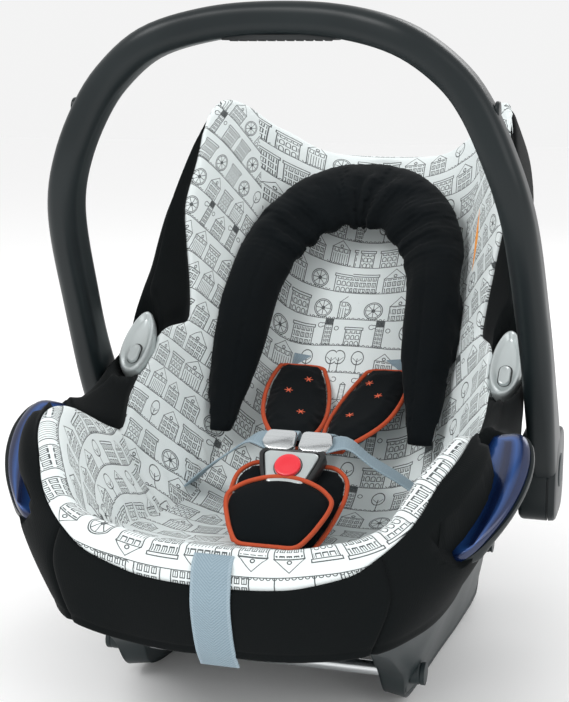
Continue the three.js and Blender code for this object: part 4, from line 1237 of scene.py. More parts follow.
def built_up(name: str, outline: Sequence[tuple[float, float]],
        levels: Sequence[tuple[float, float, float]], origin: Point, right: Point, up: Point,
        finish: Finish) -> bpy.types.Object:
    """A moulded part raised from an outline by extruding and resizing it level by level.

    Args:
        name: Object name.
        outline: Its outline in millimetres.
        levels: Height and the two sizes of the outline there, as shares; the first is the base.
        origin: Place of the outline's zero.
        right: Direction of the outline's first number.
        up: Direction of its second number.
        finish: Its finish.

    Returns:
        The new object.
    """
    bpy.ops.object.select_all(action="DESELECT")
    bpy.ops.mesh.primitive_circle_add(vertices=len(outline), radius=0.01, fill_type="NGON",
        location=(0, 0, 0))
    obj = bpy.context.object
    obj.name = obj.data.name = name
    z0, sx, sy = levels[0]
    for v, (a, b) in zip(obj.data.vertices, outline):
        v.co = (a * sx / 1000, b * sy / 1000, z0 / 1000)
    bpy.ops.object.mode_set(mode="EDIT")
    bpy.ops.mesh.select_all(action="SELECT")
    for (z, nx, ny) in levels[1:]:
        bpy.ops.mesh.extrude_region_move(TRANSFORM_OT_translate={"value": (0, 0, (z - z0) / 1000)})
        bpy.ops.transform.resize(value=(nx / sx, ny / sy, 1), center_override=(0, 0, z / 1000))
        z0, sx, sy = z, nx, ny
    bpy.ops.mesh.select_all(action="SELECT")
    bpy.ops.mesh.normals_make_consistent(inside=False)
    bpy.ops.object.mode_set(mode="OBJECT")
    x, y = Vector(right).normalized(), Vector(up).normalized()
    turn = Matrix((x, y, x.cross(y))).transposed().to_4x4()
    obj.data.transform(Matrix.Translation(metres(origin)) @ turn)
    layer = obj.data.uv_layers.get("cloth") or obj.data.uv_layers.new(name="cloth")
    for loop, spot in zip(obj.data.loops, layer.data):
        co = obj.data.vertices[loop.vertex_index].co - Vector(metres(origin))
        spot.uv = (co.dot(x), co.dot(y))
    obj.data.materials.append(material_of(finish))
    smooth_by_angle(obj, 32)
    return obj


def joined(name: str, parts: Sequence[bpy.types.Object]) -> bpy.types.Object:
    """Joins parts of one moulding into one object."""
    for other in bpy.context.view_layer.objects:
        other.select_set(False)
    for part in parts:
        part.select_set(True)
    bpy.context.view_layer.objects.active = parts[0]
    bpy.ops.object.join()
    parts[0].name = parts[0].data.name = name
    return parts[0]


@dataclass
class Handle:
    """The carrying handle with its hubs, buttons, grip and canopy studs."""

    hub: tuple[float, float] = (76.0, 155.0)
    outer: float = 224.0
    hub_deep: float = 24.7
    hub_lap: float = 9.5
    hub_shy: float = 0.3
    arch: tuple[tuple[float, float, float], ...] = ((0, -92, 562.5), (60, -96, 558), (109, -104, 543),
        (144, -100, 517), (162, -100, 494), (182, -100, 453), (196, -90, 409), (206, -46, 318),
        (211, 2, 229), (211.3, 47, 172), (211.3, 62, 158))
    top: float = 576.0

    def line(self) -> np.ndarray:
        """Centre line from the left hub over the top to the right hub."""
        k = (self.top - self.hub[1] - 14) / (562 - 158)
        half = [(x, self.hub[0] + (y - 62) * k, self.hub[1] + (z - 158) * k) for x, y, z in self.arch]
        whole = [(-x, y, z) for x, y, z in half[:0:-1]] + half
        return resample(whole, 150)

    def arm(self) -> bpy.types.Object:
        """The bent bar, wider towards the hubs."""
        line = self.line()
        tangents = np.gradient(line, axis=0)
        frames = frames_on(line, lambda i, t: np.array([-tangents[i][2], 0.0, tangents[i][0]]))

        def ring(i: int, t: float) -> list[tuple[float, float]]:
            """Rounded section of the bar, larger low down towards the hubs."""
            k = min(1.0, max(0.0, (300 - line[i][2]) / 140))
            k = k * k * (3 - 2 * k)
            return rounded(27 - 2.6 * k, 36 + 14 * k, 10.5 - 3 * k, 6)

        return sweep("handle_arm", frames, ring, HANDLE)

    def build(self) -> None:
        """Builds both hubs, the arm and the small parts."""
        y, z = self.hub
        parts = [self.arm()]
        inner = self.outer - self.hub_deep
        for side in Side:
            # The hub's housing: a rounded block with the line of its outer cap.
            outline = round_outline([(-37, -45), (37, -45), (38, 38), (-38, 38)], 26, 9)
            start = inner - self.hub_lap
            deep = self.outer - self.hub_shy - start
            levels = [(0, 0.93, 0.93), (2.0, 0.985, 0.985), (4.0, 1, 1), (deep - 8.4, 1, 1),
                (deep - 8.0, 0.965, 0.965), (deep - 7.0, 0.965, 0.965), (deep - 6.6, 1, 1),
                (deep - 2.6, 0.99, 0.99), (deep - 0.9, 0.96, 0.96), (deep, 0.9, 0.9)]
            hub = built_up("hub_housing", outline, levels, (start, y, z), (0, 1, 0), (0, 0, 1), HANDLE)
            parts.append(hub if side is Side.RIGHT else mirror_copy(hub, "hub_housing_left"))
            if side is Side.LEFT:
                bpy.data.objects.remove(hub)
        arm = joined("carrying_handle_moulding", parts)
        place(arm, "handle", "carrying_handle", slot="shell_plastic")
        for side, word in ((side.value, side.word) for side in Side):
            cap = primitive_bar("cap", (side * (self.outer - 2.4), y, z), 16, 6.6, SHELL, 56, 1.4)
            dish = built_up("dish", ellipse(11, 11, 40),
                ((0, 1, 1), (0.5, 1, 1), (0.7, 0.94, 0.94), (0.35, 0.8, 0.8), (0.2, 0.3, 0.3)),
                (side * (self.outer + 0.3), y, z), (0, side, 0), (0, 0, 1), SHELL)
            stem = primitive_bar("stem", (side * (self.outer - 12), y, z), 10, 16, SHELL, 40, 0.5)
            place(joined(f"push_button_{word}", [cap, dish, stem]), f"handle_button_{word}",
                f"handle_button_{word}", slot="shell_plastic")
            dress(f"button_spring_{word}", STEEL)
            boss = primitive_bar(f"hub_boss_{word}", (side * (self.outer - 38.5), y, z), 26, 42, SHELL, 64,
                0.5)
            place(boss, "seat", slot="shell_plastic")
        grip = node_box("handle_grip")
        centre = (0, float(grip[:, 1].mean()) - ORIGIN_Y, float(grip[0, 2]))
        ribs = [built_up("rib", round_outline([(-1.4, -8.5), (1.4, -8.5), (1.4, 8.5), (-1.4, 8.5)], 1.2,
            3), ((0, 1, 1), (0.55, 1, 1), (0.8, 0.7, 0.93)), (x, centre[1], centre[2] + 0.75), (1, 0, 0),
            (0, -1, 0), RUBBER) for x in range(-40, 41, 8)]
        pad = built_up("pad", round_outline([(-48, -12), (48, -12), (48, 12), (-48, 12)], 4),
            ((-5, 1, 1), (-1.2, 1, 1), (-0.75, 0.99, 0.97)), centre, (1, 0, 0), (0, -1, 0), RUBBER)
        place(joined("grip_insert", [pad, *ribs]), "handle", "handle_grip", slot="grip_rubber")
        for side, word in ((side.value, side.word) for side in Side):
            low, high = node_box(f"canopy_stud_{word}")
            spot = ((low + high) / 2 - (0, ORIGIN_Y, 0))
            tip = high[0] if side > 0 else low[0]
            head = primitive_bar("head", (tip - side * 1.9, spot[1], spot[2]), 8, 3.6, HANDLE, 36, 1.1)
            neck = primitive_bar("neck", (tip - side * 11, spot[1], spot[2]), 5, 16, HANDLE, 32, 0.4)
            place(joined(f"canopy_peg_{word}", [head, neck]), "handle", f"canopy_stud_{word}",
                slot="shell_plastic")


@dataclass
class Rockers:
    """The steel cross bars and their caps."""

    def build(self) -> None:
        """Builds a bar and two caps for each end of the rockers."""
        for end in ("front", "rear"):
            low, high = node_box(f"{end}_bar")
            mid = (low + high) / 2 - (0, ORIGIN_Y, 0)
            bar = primitive_bar(f"{end}_cross_bar", tuple(mid), 6, float(high[0] - low[0]), STEEL, 48, 0.6)
            place(bar, "seat", f"{end}_bar", slot="steel")
            for side, word in ((side.value, side.word) for side in Side):
                low, high = node_box(f"{end}_bar_cap_{word}")
                mid = (low + high) / 2 - (0, ORIGIN_Y, 0)
                cap = primitive_bar(f"{end}_plug_{word}", tuple(mid), 9.4, float(high[0] - low[0]), SHELL,
                    48, 1.3, ((side * 1.6, -0.7),))
                place(cap, "seat", f"{end}_bar_cap_{word}", slot="shell_plastic")


@dataclass
class ReleaseBezels:
    """Silver bezels on the wing rims with their sliding catches."""

    spot: tuple[float, float, float] = (177.0, 31.0, 261.0)

    def build(self) -> None:
        """Builds the right bezel and catch, and their mirror images."""
        up = Vector((0, 59, 50)).normalized()
        levels = ((-9, 1, 1), (3.6, 1, 1), (5.6, 0.97, 0.985), (6.8, 0.9, 0.95), (7.0, 0.84, 0.92),
            (6.4, 0.76, 0.88), (3.4, 0.62, 0.8), (2.4, 0.5, 0.72), (2.0, 0.2, 0.4))
        ring = built_up("ring", egg(14.5, 37), levels, self.spot, (1, 0, 0), up, SILVER)
        gap = built_up("gap", pill(12.4, 23.5), ((1.8, 1, 1), (2.75, 1, 1), (2.9, 0.98, 0.99)),
            Vector(self.spot) + up * -13.0, (1, 0, 0), up, BUCKLE_BLACK)
        bezel = joined("bezel_right", [ring, gap])
        place(bezel, "seat", "release_bezel_right", slot="silver_plastic")
        place(mirror_copy(bezel, "bezel_left"), "seat", "release_bezel_left", slot="silver_plastic")
        spot = Vector(self.spot) + up * -14.2
        catch = built_up("catch_right", pill(10.2, 20.8),
            ((-2.4, 1, 1), (5.0, 1, 1), (5.9, 0.93, 0.96), (6.2, 0.8, 0.88), (5.7, 0.6, 0.76),
            (5.5, 0.2, 0.3)), spot, (1, 0, 0), up, SILVER)
        place(catch, "release_slider_right", "release_slider_right", slot="silver_plastic")
        place(mirror_copy(catch, "catch_left"), "release_slider_left", "release_slider_left",
            slot="silver_plastic")


@dataclass
class BeltGuides:
    """Pearly blue guides for the vehicle belt and their dark backs."""

    top: tuple[float, float, float] = (196, -108, 234)
    low: tuple[float, float, float] = (180, -214, 163)
    shape: tuple[tuple[float, float], ...] = ((0, -14), (0, 14), (8, 22), (30, 29), (58, 29.5), (84, 24.5),
        (106, 16), (122, 7), (131, -4), (128, -16))
    turn: float = 18.0

    def blade(self, name: str, start: float, rise: float, wide: float, finish: Finish) -> bpy.types.Object:
        """A crowned blade with a crease along its length.

        Args:
            name: Object name.
            start: Height of its base over the guide's plane.
            rise: Signed thickness.
            wide: Share of the free edge's width.
            finish: Its finish.

        Returns:
            The new object.
        """
        top, low = np.array(self.top, float), np.array(self.low, float)
        along = (low - top) / np.linalg.norm(low - top)
        out = np.array([1.0, 0, 0]) - along * along[0]
        out /= np.linalg.norm(out)
        up = np.cross(along, out)
        if up[1] > 0:
            up = -up
        out = out * math.cos(math.radians(self.turn)) + up * math.sin(math.radians(self.turn))
        up = np.cross(along, out)
        scale = float(np.linalg.norm(low - top)) / 132
        edge = resample([*[(a * scale, b * wide if b > 0 else b, 0) for a, b in self.shape],
            (self.shape[0][0], self.shape[0][1], 0)], 73)[:-1, :2]
        points, uvs, faces = [], [], []
        shares = (1.0, 1.0, 0.96, 0.88, 0.76, 0.6, 0.42, 0.24, 0.1, 0.02)
        heights = (0.0, 0.22, 0.4, 0.56, 0.7, 0.82, 0.91, 0.965, 0.99, 1.0)
        for share, height in zip(shares, heights):
            for a, b in edge:
                ridge_a = min(max(a, 14 * scale), 118 * scale)
                ridge = np.array([ridge_a, 6 + 9 * math.sin(math.pi * ridge_a / (132 * scale))])
                q = ridge + (np.array([a, b]) - ridge) * share
                points.append(top + along * q[0] + out * q[1] + up * (start + rise * height))
                uvs.append((a / 1000, share))
        n = len(edge)
        for r in range(len(shares) - 1):
            for j in range(n):
                k = (j + 1) % n
                faces.append((r * n + j, r * n + k, (r + 1) * n + k, (r + 1) * n + j))
        faces.append(tuple(range(n)))
        faces.append(tuple((len(shares) - 1) * n + j for j in range(n))[::-1])
        obj = outward(make_object(name, np.array(points), faces, finish, uvs=np.array(uvs)))
        smooth_by_angle(obj, 48)
        return obj

    def build(self) -> None:
        """Builds the guides of both sides."""
        along = Vector(self.low) - Vector(self.top)
        way = 1 if along.cross(Vector((1, 0, 0))).z > 0 else -1
        face = self.blade("belt_guide_face_right", 0.0, 6.9 * way, 1.0, BLUE)
        back = self.blade("belt_guide_rear_right", -0.3 * way, -9.6 * way, 1.1, HANDLE)
        for piece, node in ((face, "belt_guide"), (back, "belt_guide_back")):
            slot = "blue_plastic" if piece is face else "shell_plastic"
            place(piece, "seat", f"{node}_right", slot=slot)
            place(mirror_copy(piece, piece.name.replace("right", "left")), "seat", f"{node}_left", slot=slot)


@dataclass
class Hugger:
    """The black padded arch round the head."""

    path: tuple[tuple[float, float, float], ...] = ((-95, 46, 175), (-102, 82, 217), (-105, 118, 264),
        (-101, 159, 314), (-84, 208, 356), (-50, 242, 384), (-6, 256, 391), (38, 242, 384), (72, 208, 356),
        (89, 159, 314), (93, 118, 264), (92, 82, 217), (88, 46, 175))
    wide: float = 58.0
    thick: float = 36.0
    inner_side: float = 1.0

    def build(self, liner: BVHTree) -> None:
        """Builds the arch, swells it and gathers its top."""
        line = resample(self.path, 110)
        face = np.array([0, -0.72, 0.69])
        frames = frames_on(line, lambda i, t: np.cross(t, face))

        def ring(i: int, t: float) -> list[tuple[float, float]]:
            """Soft oval that closes at both feet."""
            foot = math.sin(math.pi / 2 * min(1.0, min(t, 1 - t) / 0.2))
            k = 0.35 + 0.65 * foot
            top = 1 + 0.2 * math.exp(-((t - 0.5) ** 2) / 0.03)
            inner = (0.1 + 0.9 * foot) * (1.06 + 0.34 * math.exp(-((t - 0.5) ** 2) / 0.02))
            outer = 0.72 + 0.28 * foot
            return [((a * inner if a * self.inner_side > 0 else a * outer), b)
                for a, b in ellipse(self.wide / 2 * top + 2.5, self.thick / 2 * k - 0.5, 28)]

        obj = sweep("head_pillow", frames, ring, BLACK_PAD)
        keep_off(obj, liner, 1.5)
        obj = inflate(obj, 0.005, 4.0, 0.005, 0.001)
        centres = np.array([metres(c) for c, _, _ in frames])
        for v in obj.data.vertices:
            near = np.linalg.norm(centres - np.array(v.co[:]), axis=1)
            i = int(near.argmin())
            c, s, u = frames[i]
            t = i / (len(frames) - 1)
            d = (np.array(v.co[:]) * 1000 - (0, ORIGIN_Y, 0)) - c
            angle = math.atan2(d.dot(u), d.dot(s))
            front = u.dot(face) > 0
            a = angle if front else -angle
            inward = 0.5 + 0.5 * d.dot(s) / max(1.0, float(np.linalg.norm(d))) * self.inner_side
            gather = math.exp(-((t - 0.5) / 0.21) ** 4) * ((0.5 + 2.0 * inward)
                * math.sin(t * 125 + 1.4 * math.sin(t * 37) + 0.9 * math.sin(a * 2))
                + 1.0 * noise.noise(Vector((t * 60, a * 1.5, 0))))
            stitch = -1.6 * math.exp(-((a - 1.05) / 0.07) ** 2) * (1 - math.exp(-((t - 0.5) / 0.24) ** 4))
            soft = 0.9 * noise.noise(Vector(d.tolist()) * 0.03 + Vector((t * 20, 0, 0)))
            v.co += v.normal * ((gather + stitch + soft) / 1000)
        keep_off(obj, liner, 0.6)
        box_uv(obj)
        place(obj, "seat", "head_hugger", slot="black_fabric", fill=0.7)


@dataclass
class Harness:
    """Buckle, tongues, straps, shoulder pads and crotch pads."""

    buckle: tuple[float, float, float] = (0, -63, 180)
    up: tuple[float, float, float] = (0, 0.8, 0.6)
    out: tuple[float, float, float] = (0, -0.6, 0.8)
    half_width: float = 31.0
    strap: float = 25.0
    pad_thick: float = 12.0

    def at(self, a: float, s: float, n: float) -> np.ndarray:
        """Point in the buckle's frame: across, up the pad, out of its face."""
        return np.array(self.buckle) + np.array([a, 0, 0]) + np.array(self.up) * s + np.array(self.out) * n

    def plate(self, name: str, outline: Sequence[tuple[float, float]],
            levels: Sequence[tuple[float, float, float]], finish: Finish,
            centre: tuple[float, float] = (0, 0)) -> bpy.types.Object:
        """A part raised out of the buckle's face; levels scale about the given centre."""
        moved = [(a - centre[0], b - centre[1]) for a, b in outline]
        return built_up(name, moved, levels, self.at(centre[0], centre[1], 0), (1, 0, 0), self.up, finish)

    def piping(self, name: str, line: Sequence[Point], radius: float = 2.1,
            closed: bool = True) -> bpy.types.Object:
        """A covered cord along a line."""
        smooth = resample([*line, line[0]] if closed else line, 120 if closed else 70)
        tangents = np.gradient(smooth, axis=0)
        if closed:
            tangents[0] = tangents[-1] = smooth[1] - smooth[-2]
        points, uvs, faces = [], [], []
        side = np.cross(tangents[0], self.out)
        for i, (c, t) in enumerate(zip(smooth, tangents)):
            t = t / np.linalg.norm(t)
            side = side - t * side.dot(t)
            side /= np.linalg.norm(side)
            other = np.cross(t, side)
            for j in range(10):
                a = 2 * math.pi * j / 10
                points.append(c + (side * math.cos(a) + other * math.sin(a)) * radius)
                uvs.append((j * radius * 0.6 / 1000, i * 0.0022))
        n = len(smooth)
        last = n - 1 if closed else n
        for i in range(n - 1):
            for j in range(10):
                k, q = (j + 1) % 10, (i + 1) % last if closed else i + 1
                faces.append((i * 10 + j, i * 10 + k, q * 10 + k, q * 10 + j))
        if not closed:
            faces += [tuple(range(10))[::-1], tuple((n - 1) * 10 + j for j in range(10))]
        else:
            points, uvs = points[:last * 10], uvs[:last * 10]
        return outward(make_object(name, np.array(points), faces, PIPING, uvs=np.array(uvs)))

    def pillow(self, name: str, outline: Sequence[tuple[float, float]], low: float, high: float,
            crown: float) -> bpy.types.Object:
        """A stuffed pad on the buckle's frame with a crowned face."""
        edge = resample([(*p, 0) for p in [*outline, outline[0]]], 81)[:-1, :2]
        centre = edge.mean(axis=0)
        points, faces = [], []
        mid, half = (low + high) / 2, (high - low) / 2
        ladder = [(0.0, -1.0), (0.5, -1.0), (0.85, -0.85), (0.97, -0.45), (1.0, 0.0), (0.97, 0.45),
            (0.88, 0.8), (0.7, 0.95), (0.45, 1.0 + crown * 0.7), (0.2, 1.0 + crown), (0.0, 1.0 + crown)]
        for share, height in ladder[1:-1]:
            for a, b in edge:
                q = centre + (np.array([a, b]) - centre) * share
                points.append(self.at(q[0], q[1], mid + half * height))
        n, rows = len(edge), len(ladder) - 2
        for r in range(rows - 1):
            for j in range(n):
                k = (j + 1) % n
                faces.append((r * n + j, r * n + k, (r + 1) * n + k, (r + 1) * n + j))
        base, cap = len(points), len(points) + 1
        points += [self.at(*centre, mid - half), self.at(*centre, mid + half * (1 + crown))]
        faces += [(base, (j + 1) % n, j) for j in range(n)]
        faces += [(cap, (rows - 1) * n + j, (rows - 1) * n + (j + 1) % n) for j in range(n)]
        return outward(make_object(name, np.array(points), faces, BLACK_PAD))

    def crotch(self, liner: BVHTree) -> None:
        """The rear pad, the front pocket and their piping."""
        rear = [(27, -84), (38, -68), (47, -44), (53, -16), (51, 4), (38, 16)]
        rear += [(-a, b) for a, b in rear[::-1]]
        pocket = [(27, -84), (37, -68), (46, -46), (48, -33), (36, -21), (18, -13), (0, -10.5)]
        pocket += [(-a, b) for a, b in pocket[-2::-1]]
        rear, pocket = round_outline(rear, 15, 5), round_outline(pocket, 8, 4)
        for name, outline, low, high, node, crown in (("crotch_cushion", rear, -26, -13.8, "crotch_pad",
                0.0), ("crotch_sleeve", pocket, -12.4, 3.4, "crotch_pocket", 0.15)):
            pad = self.pillow(name, outline, low + 1, high - 1, crown)
            pad = inflate(pad, 0.004, 3.0, 0.003)
            keep_off(pad, liner, 0.8)
            box_uv(pad)
            place(pad, "seat", node, slot="black_fabric", fill=0.6)
            seam = high - 4.5 if name == "crotch_cushion" else high - 3.5
            line = [self.at(a * 1.0, b * 1.0, seam) for a, b in outline]
            cord = self.piping(f"{name}_piping", line)
            keep_off(cord, liner, 0.3)
            place(cord, "seat", slot="orange_fabric")

    def star(self, spot: np.ndarray, right: np.ndarray, up: np.ndarray,
            size: float) -> list[bpy.types.Object]:
        """Three crossed stitches."""
        out = []
        for k in range(3):
            a = math.pi * k / 3
            way = right * math.cos(a) + up * math.sin(a)
            side = np.cross(way, np.cross(right, up))
            frames = [(spot + way * t * size, side, np.cross(way, side)) for t in (-1, -0.6, 0, 0.6, 1)]
            out.append(sweep("stitch", frames,
                lambda i, t: ellipse(0.6 * (0.4 + 0.6 * math.sin(math.pi * (0.1 + 0.8 * t))), 0.3, 6),
                THREAD))
        return out

    def shoulder(self, liner: BVHTree) -> tuple[int, list]:
        """The two shoulder pads with piping and small embroidered stars.

        Args:
            liner: Surface that the pads lie on.

        Returns:
            Sign of the pads' outward way, and the frames down the right pad.
        """
        line = resample([(45, 143, 224), (40, 110, 207), (33, 72, 192), (25, 34, 181), (21, 12, 175)], 40)
        frames = frames_on(line, lambda i, t: np.array([1, -0.2, 0.1]))

        def width(t: float) -> float:
            """Width down the pad, like a leaf with a blunt foot."""
            return 64 * max(0.3, 1 - abs((t - 0.42) / 0.64) ** 2.3)

        ring = lambda i, t: rounded(width(t) - 3, self.pad_thick * (0.6 + 0.4 * math.sin(math.pi * t)), 3, 4)
        pad = inflate(sweep("shoulder_cushion_right", frames, ring, BLACK_PAD), 0.004, 3.0, 0.0025)
        for v in pad.data.vertices:
            v.co.x = max(v.co.x, 0.0006)
        keep_off(pad, liner, 0.8)
        box_uv(pad)
        front = 1 if frames[0][2][2] > 0 else -1
        rim = [c + s * (width(i / 39) / 2) + u * front * 1.0 for i, (c, s, u) in enumerate(frames)][1::2]
        rim += [frames[-1][0] + frames[-1][1] * k for k in (12, -8)]
        rim += [c - s * (width(i / 39) / 2) + u * front * 1.0
            for i, (c, s, u) in enumerate(frames)][1::2][::-1]
        cord = self.piping("shoulder_piping_right", rim, 2.2)
        for v in cord.data.vertices:
            v.co.x = max(v.co.x, 0.0003)
        stars = []
        for share, across in ((0.22, -9), (0.36, 9), (0.62, -6)):
            c, s, u = frames[int(share * 39)]
            t = np.cross(s, u)
            start = Vector(metres(c + s * across + u * front * 30))
            spot, normal, _, _ = surface_of(pad).ray_cast(start, Vector((-u * front).tolist()))
            if spot is not None:
                at = np.array((spot + normal * 0.0002)[:]) * 1000 - (0, ORIGIN_Y, 0)
                stars += self.star(at, s, t, 4.2)
        embroidery = joined("shoulder_stars_right", stars)
        for piece, node, slot, fill in ((pad, "shoulder_pad", "black_fabric", 0.5),
                (cord, "", "orange_fabric", None), (embroidery, "", "orange_fabric", None)):
            place(piece, "seat", *([f"{node}_right"] if node else []), slot=slot, fill=fill)
            twin = mirror_copy(piece, piece.name.replace("right", "left"))
            place(twin, "seat", *([f"{node}_left"] if node else []), slot=slot, fill=fill)
        return front, frames

    def straps(self, frames: list, front: int) -> None:
        """Shoulder straps under the pads, lap straps and the crotch strap."""
        drop = 0.9 + self.pad_thick / 2 + 0.6
        line = [frames[0][0] + np.array([0, 0.8, 0.52]) * 16] + [c - u * front * drop
            for c, _, u in frames[::8]] + [self.at(16, 50, -15), self.at(16, 41, -12.4)]
        shoulder = sweep("shoulder_webbing_right",
            frames_on(resample(line, 40), lambda i, t: np.array([1, -0.1, 0])),
            lambda i, t: rounded(self.strap, 1.8, 0.8, 3), STRAP, True)
        for v in shoulder.data.vertices:
            v.co.x = max(v.co.x, 0.0006)
        lap = [self.at(24, 34, -12.4), self.at(42, 40, -13), (66, -22, 178), (92, -8, 158), (116, 4, 136),
            (126, 8, 126)]
        lap_strap = sweep("lap_webbing_right",
            frames_on(resample(lap, 36), lambda i, t: np.array([-0.35, 0.9, 0.2])),
            lambda i, t: rounded(self.strap, 1.8, 0.8, 3), STRAP, True)
        for piece, node in ((shoulder, "shoulder_strap"), (lap_strap, "lap_strap")):
            place(piece, "seat", f"{node}_right", slot="webbing")
            place(mirror_copy(piece, piece.name.replace("right", "left")), "seat", f"{node}_left",
                slot="webbing")
        back = [self.at(0, s, -14.3) for s in (-118, -80, -40, 0, 20)]
        crotch = sweep("crotch_webbing", frames_on(resample(back, 24), lambda i, t: np.array([1.0, 0, 0])),
            lambda i, t: rounded(36, 1.8, 0.8, 3), STRAP, True)
        place(crotch, "seat", "crotch_strap", slot="webbing")

    def hardware(self) -> None:
        """The buckle with its silver face and red button, and the two tongues."""
        w = self.half_width
        body = round_outline([(-w, 16), (-w + 3, 21), (w - 3, 21), (w, 16), (w - 4, 0), (w - 12, -22),
            (-w + 12, -22), (-w + 4, 0)], 3.5)
        face = round_outline([(-w + 6, 14), (-w + 10, 17), (w - 10, 17), (w - 6, 14), (w - 10, 0),
            (w - 15, -18), (-w + 15, -18), (-w + 10, 0)], 3)
        case = self.plate("buckle_case", body,
            ((-13, 0.93, 0.93), (-11.5, 1, 1), (-3, 1, 1), (-1.6, 0.97, 0.965), (-1, 0.9, 0.9),
            (-1.3, 0.86, 0.86), (-3, 0.84, 0.84)), BUCKLE_BLACK)
        place(case, "seat", "buckle_body", slot="buckle_plastic")
        front = self.plate("buckle_front", face,
            ((-2.8, 1, 1), (-0.6, 1, 1), (0.2, 0.955, 0.955), (0.4, 0.88, 0.88), (0.4, 0.7, 0.68)), SILVER)
        collar = self.plate("collar", ellipse(13.2, 13.2, 48),
            ((0.2, 1, 1), (0.75, 0.985, 0.985), (0.8, 0.93, 0.93), (-0.2, 0.925, 0.925), (-0.4, 0.5, 0.5)),
            BUCKLE_BLACK)
        place(joined("buckle_front", [front, collar]), "seat", "buckle_face", slot="silver_plastic")
        button = self.plate("release_button", ellipse(11.8, 11.8, 56),
            ((-4, 1, 1), (2.9, 1, 1), (3.6, 0.96, 0.96), (3.9, 0.88, 0.88), (3.75, 0.6, 0.6),
            (3.5, 0.2, 0.2)), RED)
        place(button, "buckle_button", "buckle_button", slot="red_plastic")
        blade = round_outline([(6.3, 8.5), (23.7, 8.5), (23.7, 26), (6.3, 26)], 2)
        wing = round_outline([(1.5, 26), (6, 22), (24, 22), (30, 25), (33.5, 31), (30, 45), (2.5, 45)], 5, 6)
        parts = [self.plate("blade", blade, ((-10, 1, 1), (-7, 1, 1)), TONGUE_STEEL, (15, 17)),
                 self.plate("wing", wing,
                 ((-10.6, 0.96, 0.96), (-10, 1, 1), (-6.9, 1, 1), (-5.4, 0.95, 0.93), (-5.0, 0.86, 0.82)),
                 TONGUE_STEEL, (16, 34))]
        tongue = joined("tongue_plate_right", parts)
        place(tongue, "seat", "tongue_right", slot="steel")
        place(mirror_copy(tongue, "tongue_plate_left"), "seat", "tongue_left", slot="steel")

    def build(self, liner: BVHTree) -> None:
        """Builds the whole harness."""
        self.hardware()
        self.crotch(liner)
        front, frames = self.shoulder(liner)
        self.straps(frames, front)


@dataclass
class Adjuster:
    """The one-pull adjuster: hanging webbing and the clamp in the front lip."""

    tail: tuple[tuple[float, float, float], ...] = ((0, -256, 165.5), (0, -263, 160), (0, -266, 148),
        (0, -268, 132), (0, -264.5, 112), (0, -256.5, 89), (0, -247, 74))

    def build(self) -> None:
        """Builds the webbing and dresses the clamp."""
        line = [(x, y - 1.9, z + (2.2 if i == 0 else 0.6)) for i, (x, y, z) in enumerate(self.tail)]
        strap = sweep("adjuster_webbing",
            frames_on(resample(line, 60), lambda i, t: np.array([1.0, 0, 0])),
            lambda i, t: rounded(32, 1.9, 0.85, 3), STRAP, True)
        place(strap, "seat", "adjuster_strap", slot="webbing")
        dress("adjuster_housing", SHELL)
        dress("adjuster_lever", SILVER)
        dress("adjuster_pin", STEEL)


@dataclass
class WingTab:
    """The plain orange tape sewn between the hugger and the wing."""

    def build(self) -> None:
        """Builds the tape."""
        outline = round_outline([(-7, -46), (7, -46), (8, 0), (6, 46), (-6, 46)], 2)
        tab = built_up("orange_tab", outline, ((-3, 1, 1), (0.2, 1, 1), (0.6, 0.94, 0.985)),
            (128, 176, 352), Vector((-0.5, -0.62, 0.6)), Vector((0, 0.5, 0.86)), TAB_ORANGE)
        place(tab, "seat", "wing_tab", slot="orange_fabric")


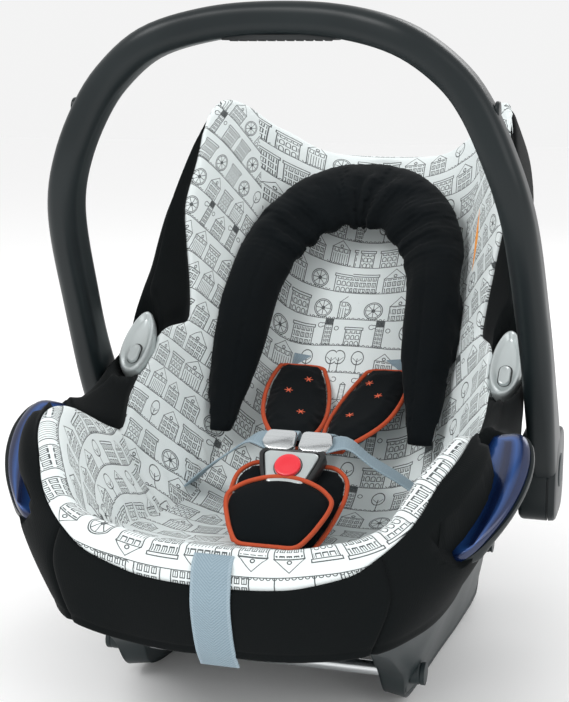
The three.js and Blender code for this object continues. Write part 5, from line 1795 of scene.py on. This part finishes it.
@dataclass
class Studio:
    """Pale floor, soft lights and the camera."""

    target: tuple[float, float, float] = (0, 0, 256)
    back: tuple[float, float, float] = (0.264, -0.939, 0.220)
    distance: float = 1274.6

    def light(self, name: str, place_m: Point, size: float, power: float) -> None:
        """A square soft light that looks at the seat."""
        data = bpy.data.lights.new(name, "AREA")
        data.energy, data.size, data.shape = power, size, "SQUARE"
        lamp = bpy.data.objects.new(name, data)
        bpy.context.scene.collection.objects.link(lamp)
        lamp.location = place_m
        lamp.rotation_euler = (Vector((0, 0, 0.25)) - Vector(place_m)).to_track_quat("-Z", "Y").to_euler()

    def build(self) -> None:
        """Builds the floor, world, lights and camera."""
        scene = bpy.context.scene
        bpy.ops.object.select_all(action="DESELECT")
        bpy.ops.mesh.primitive_plane_add(size=14, location=(0, 0, 0))
        floor = bpy.context.object
        floor.name = "floor"
        material = bpy.data.materials.new("pale_floor")
        material.use_nodes = True
        shader = material.node_tree.nodes["Principled BSDF"]
        shader.inputs["Base Color"].default_value = linear("ffffff")
        shader.inputs["Roughness"].default_value = 1.0
        floor.data.materials.append(material)
        floor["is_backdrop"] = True
        world = bpy.data.worlds.new("studio")
        scene.world = world
        world.use_nodes = True
        world.node_tree.nodes["Background"].inputs[0].default_value = (1, 1, 1, 1)
        world.node_tree.nodes["Background"].inputs[1].default_value = 0.9
        self.light("key", (-1.1, -1.5, 2.0), 1.0, 24)
        self.light("fill", (1.7, -1.2, 1.0), 1.2, 8)
        self.light("rim", (0.6, 1.6, 1.7), 1.2, 14)
        data = bpy.data.cameras.new("camera")
        data.lens, data.sensor_width, data.sensor_fit = 71.85, 36.0, "AUTO"
        data.shift_x, data.shift_y = -0.0326, 0.0231
        camera = bpy.data.objects.new("camera", data)
        scene.collection.objects.link(camera)
        way = Vector(self.back)
        camera.location = Vector(metres(self.target)) + way * self.distance / 1000
        camera.rotation_euler = (-way).to_track_quat("-Z", "Y").to_euler()
        scene.camera = camera
        scene.view_settings.view_transform = "Standard"


def main() -> None:
    """Builds the studio and every sub-assembly in order."""
    Studio().build()
    liner = surface_of(Bucket().build())
    Handle().build()
    Rockers().build()
    ReleaseBezels().build()
    BeltGuides().build()
    Hugger().build(liner)
    Harness().build(liner)
    Adjuster().build()
    WingTab().build()
    {"cad": as_list(CAD_BOX), "visual": as_list(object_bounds())}


if __name__ == "__main__":
    main()
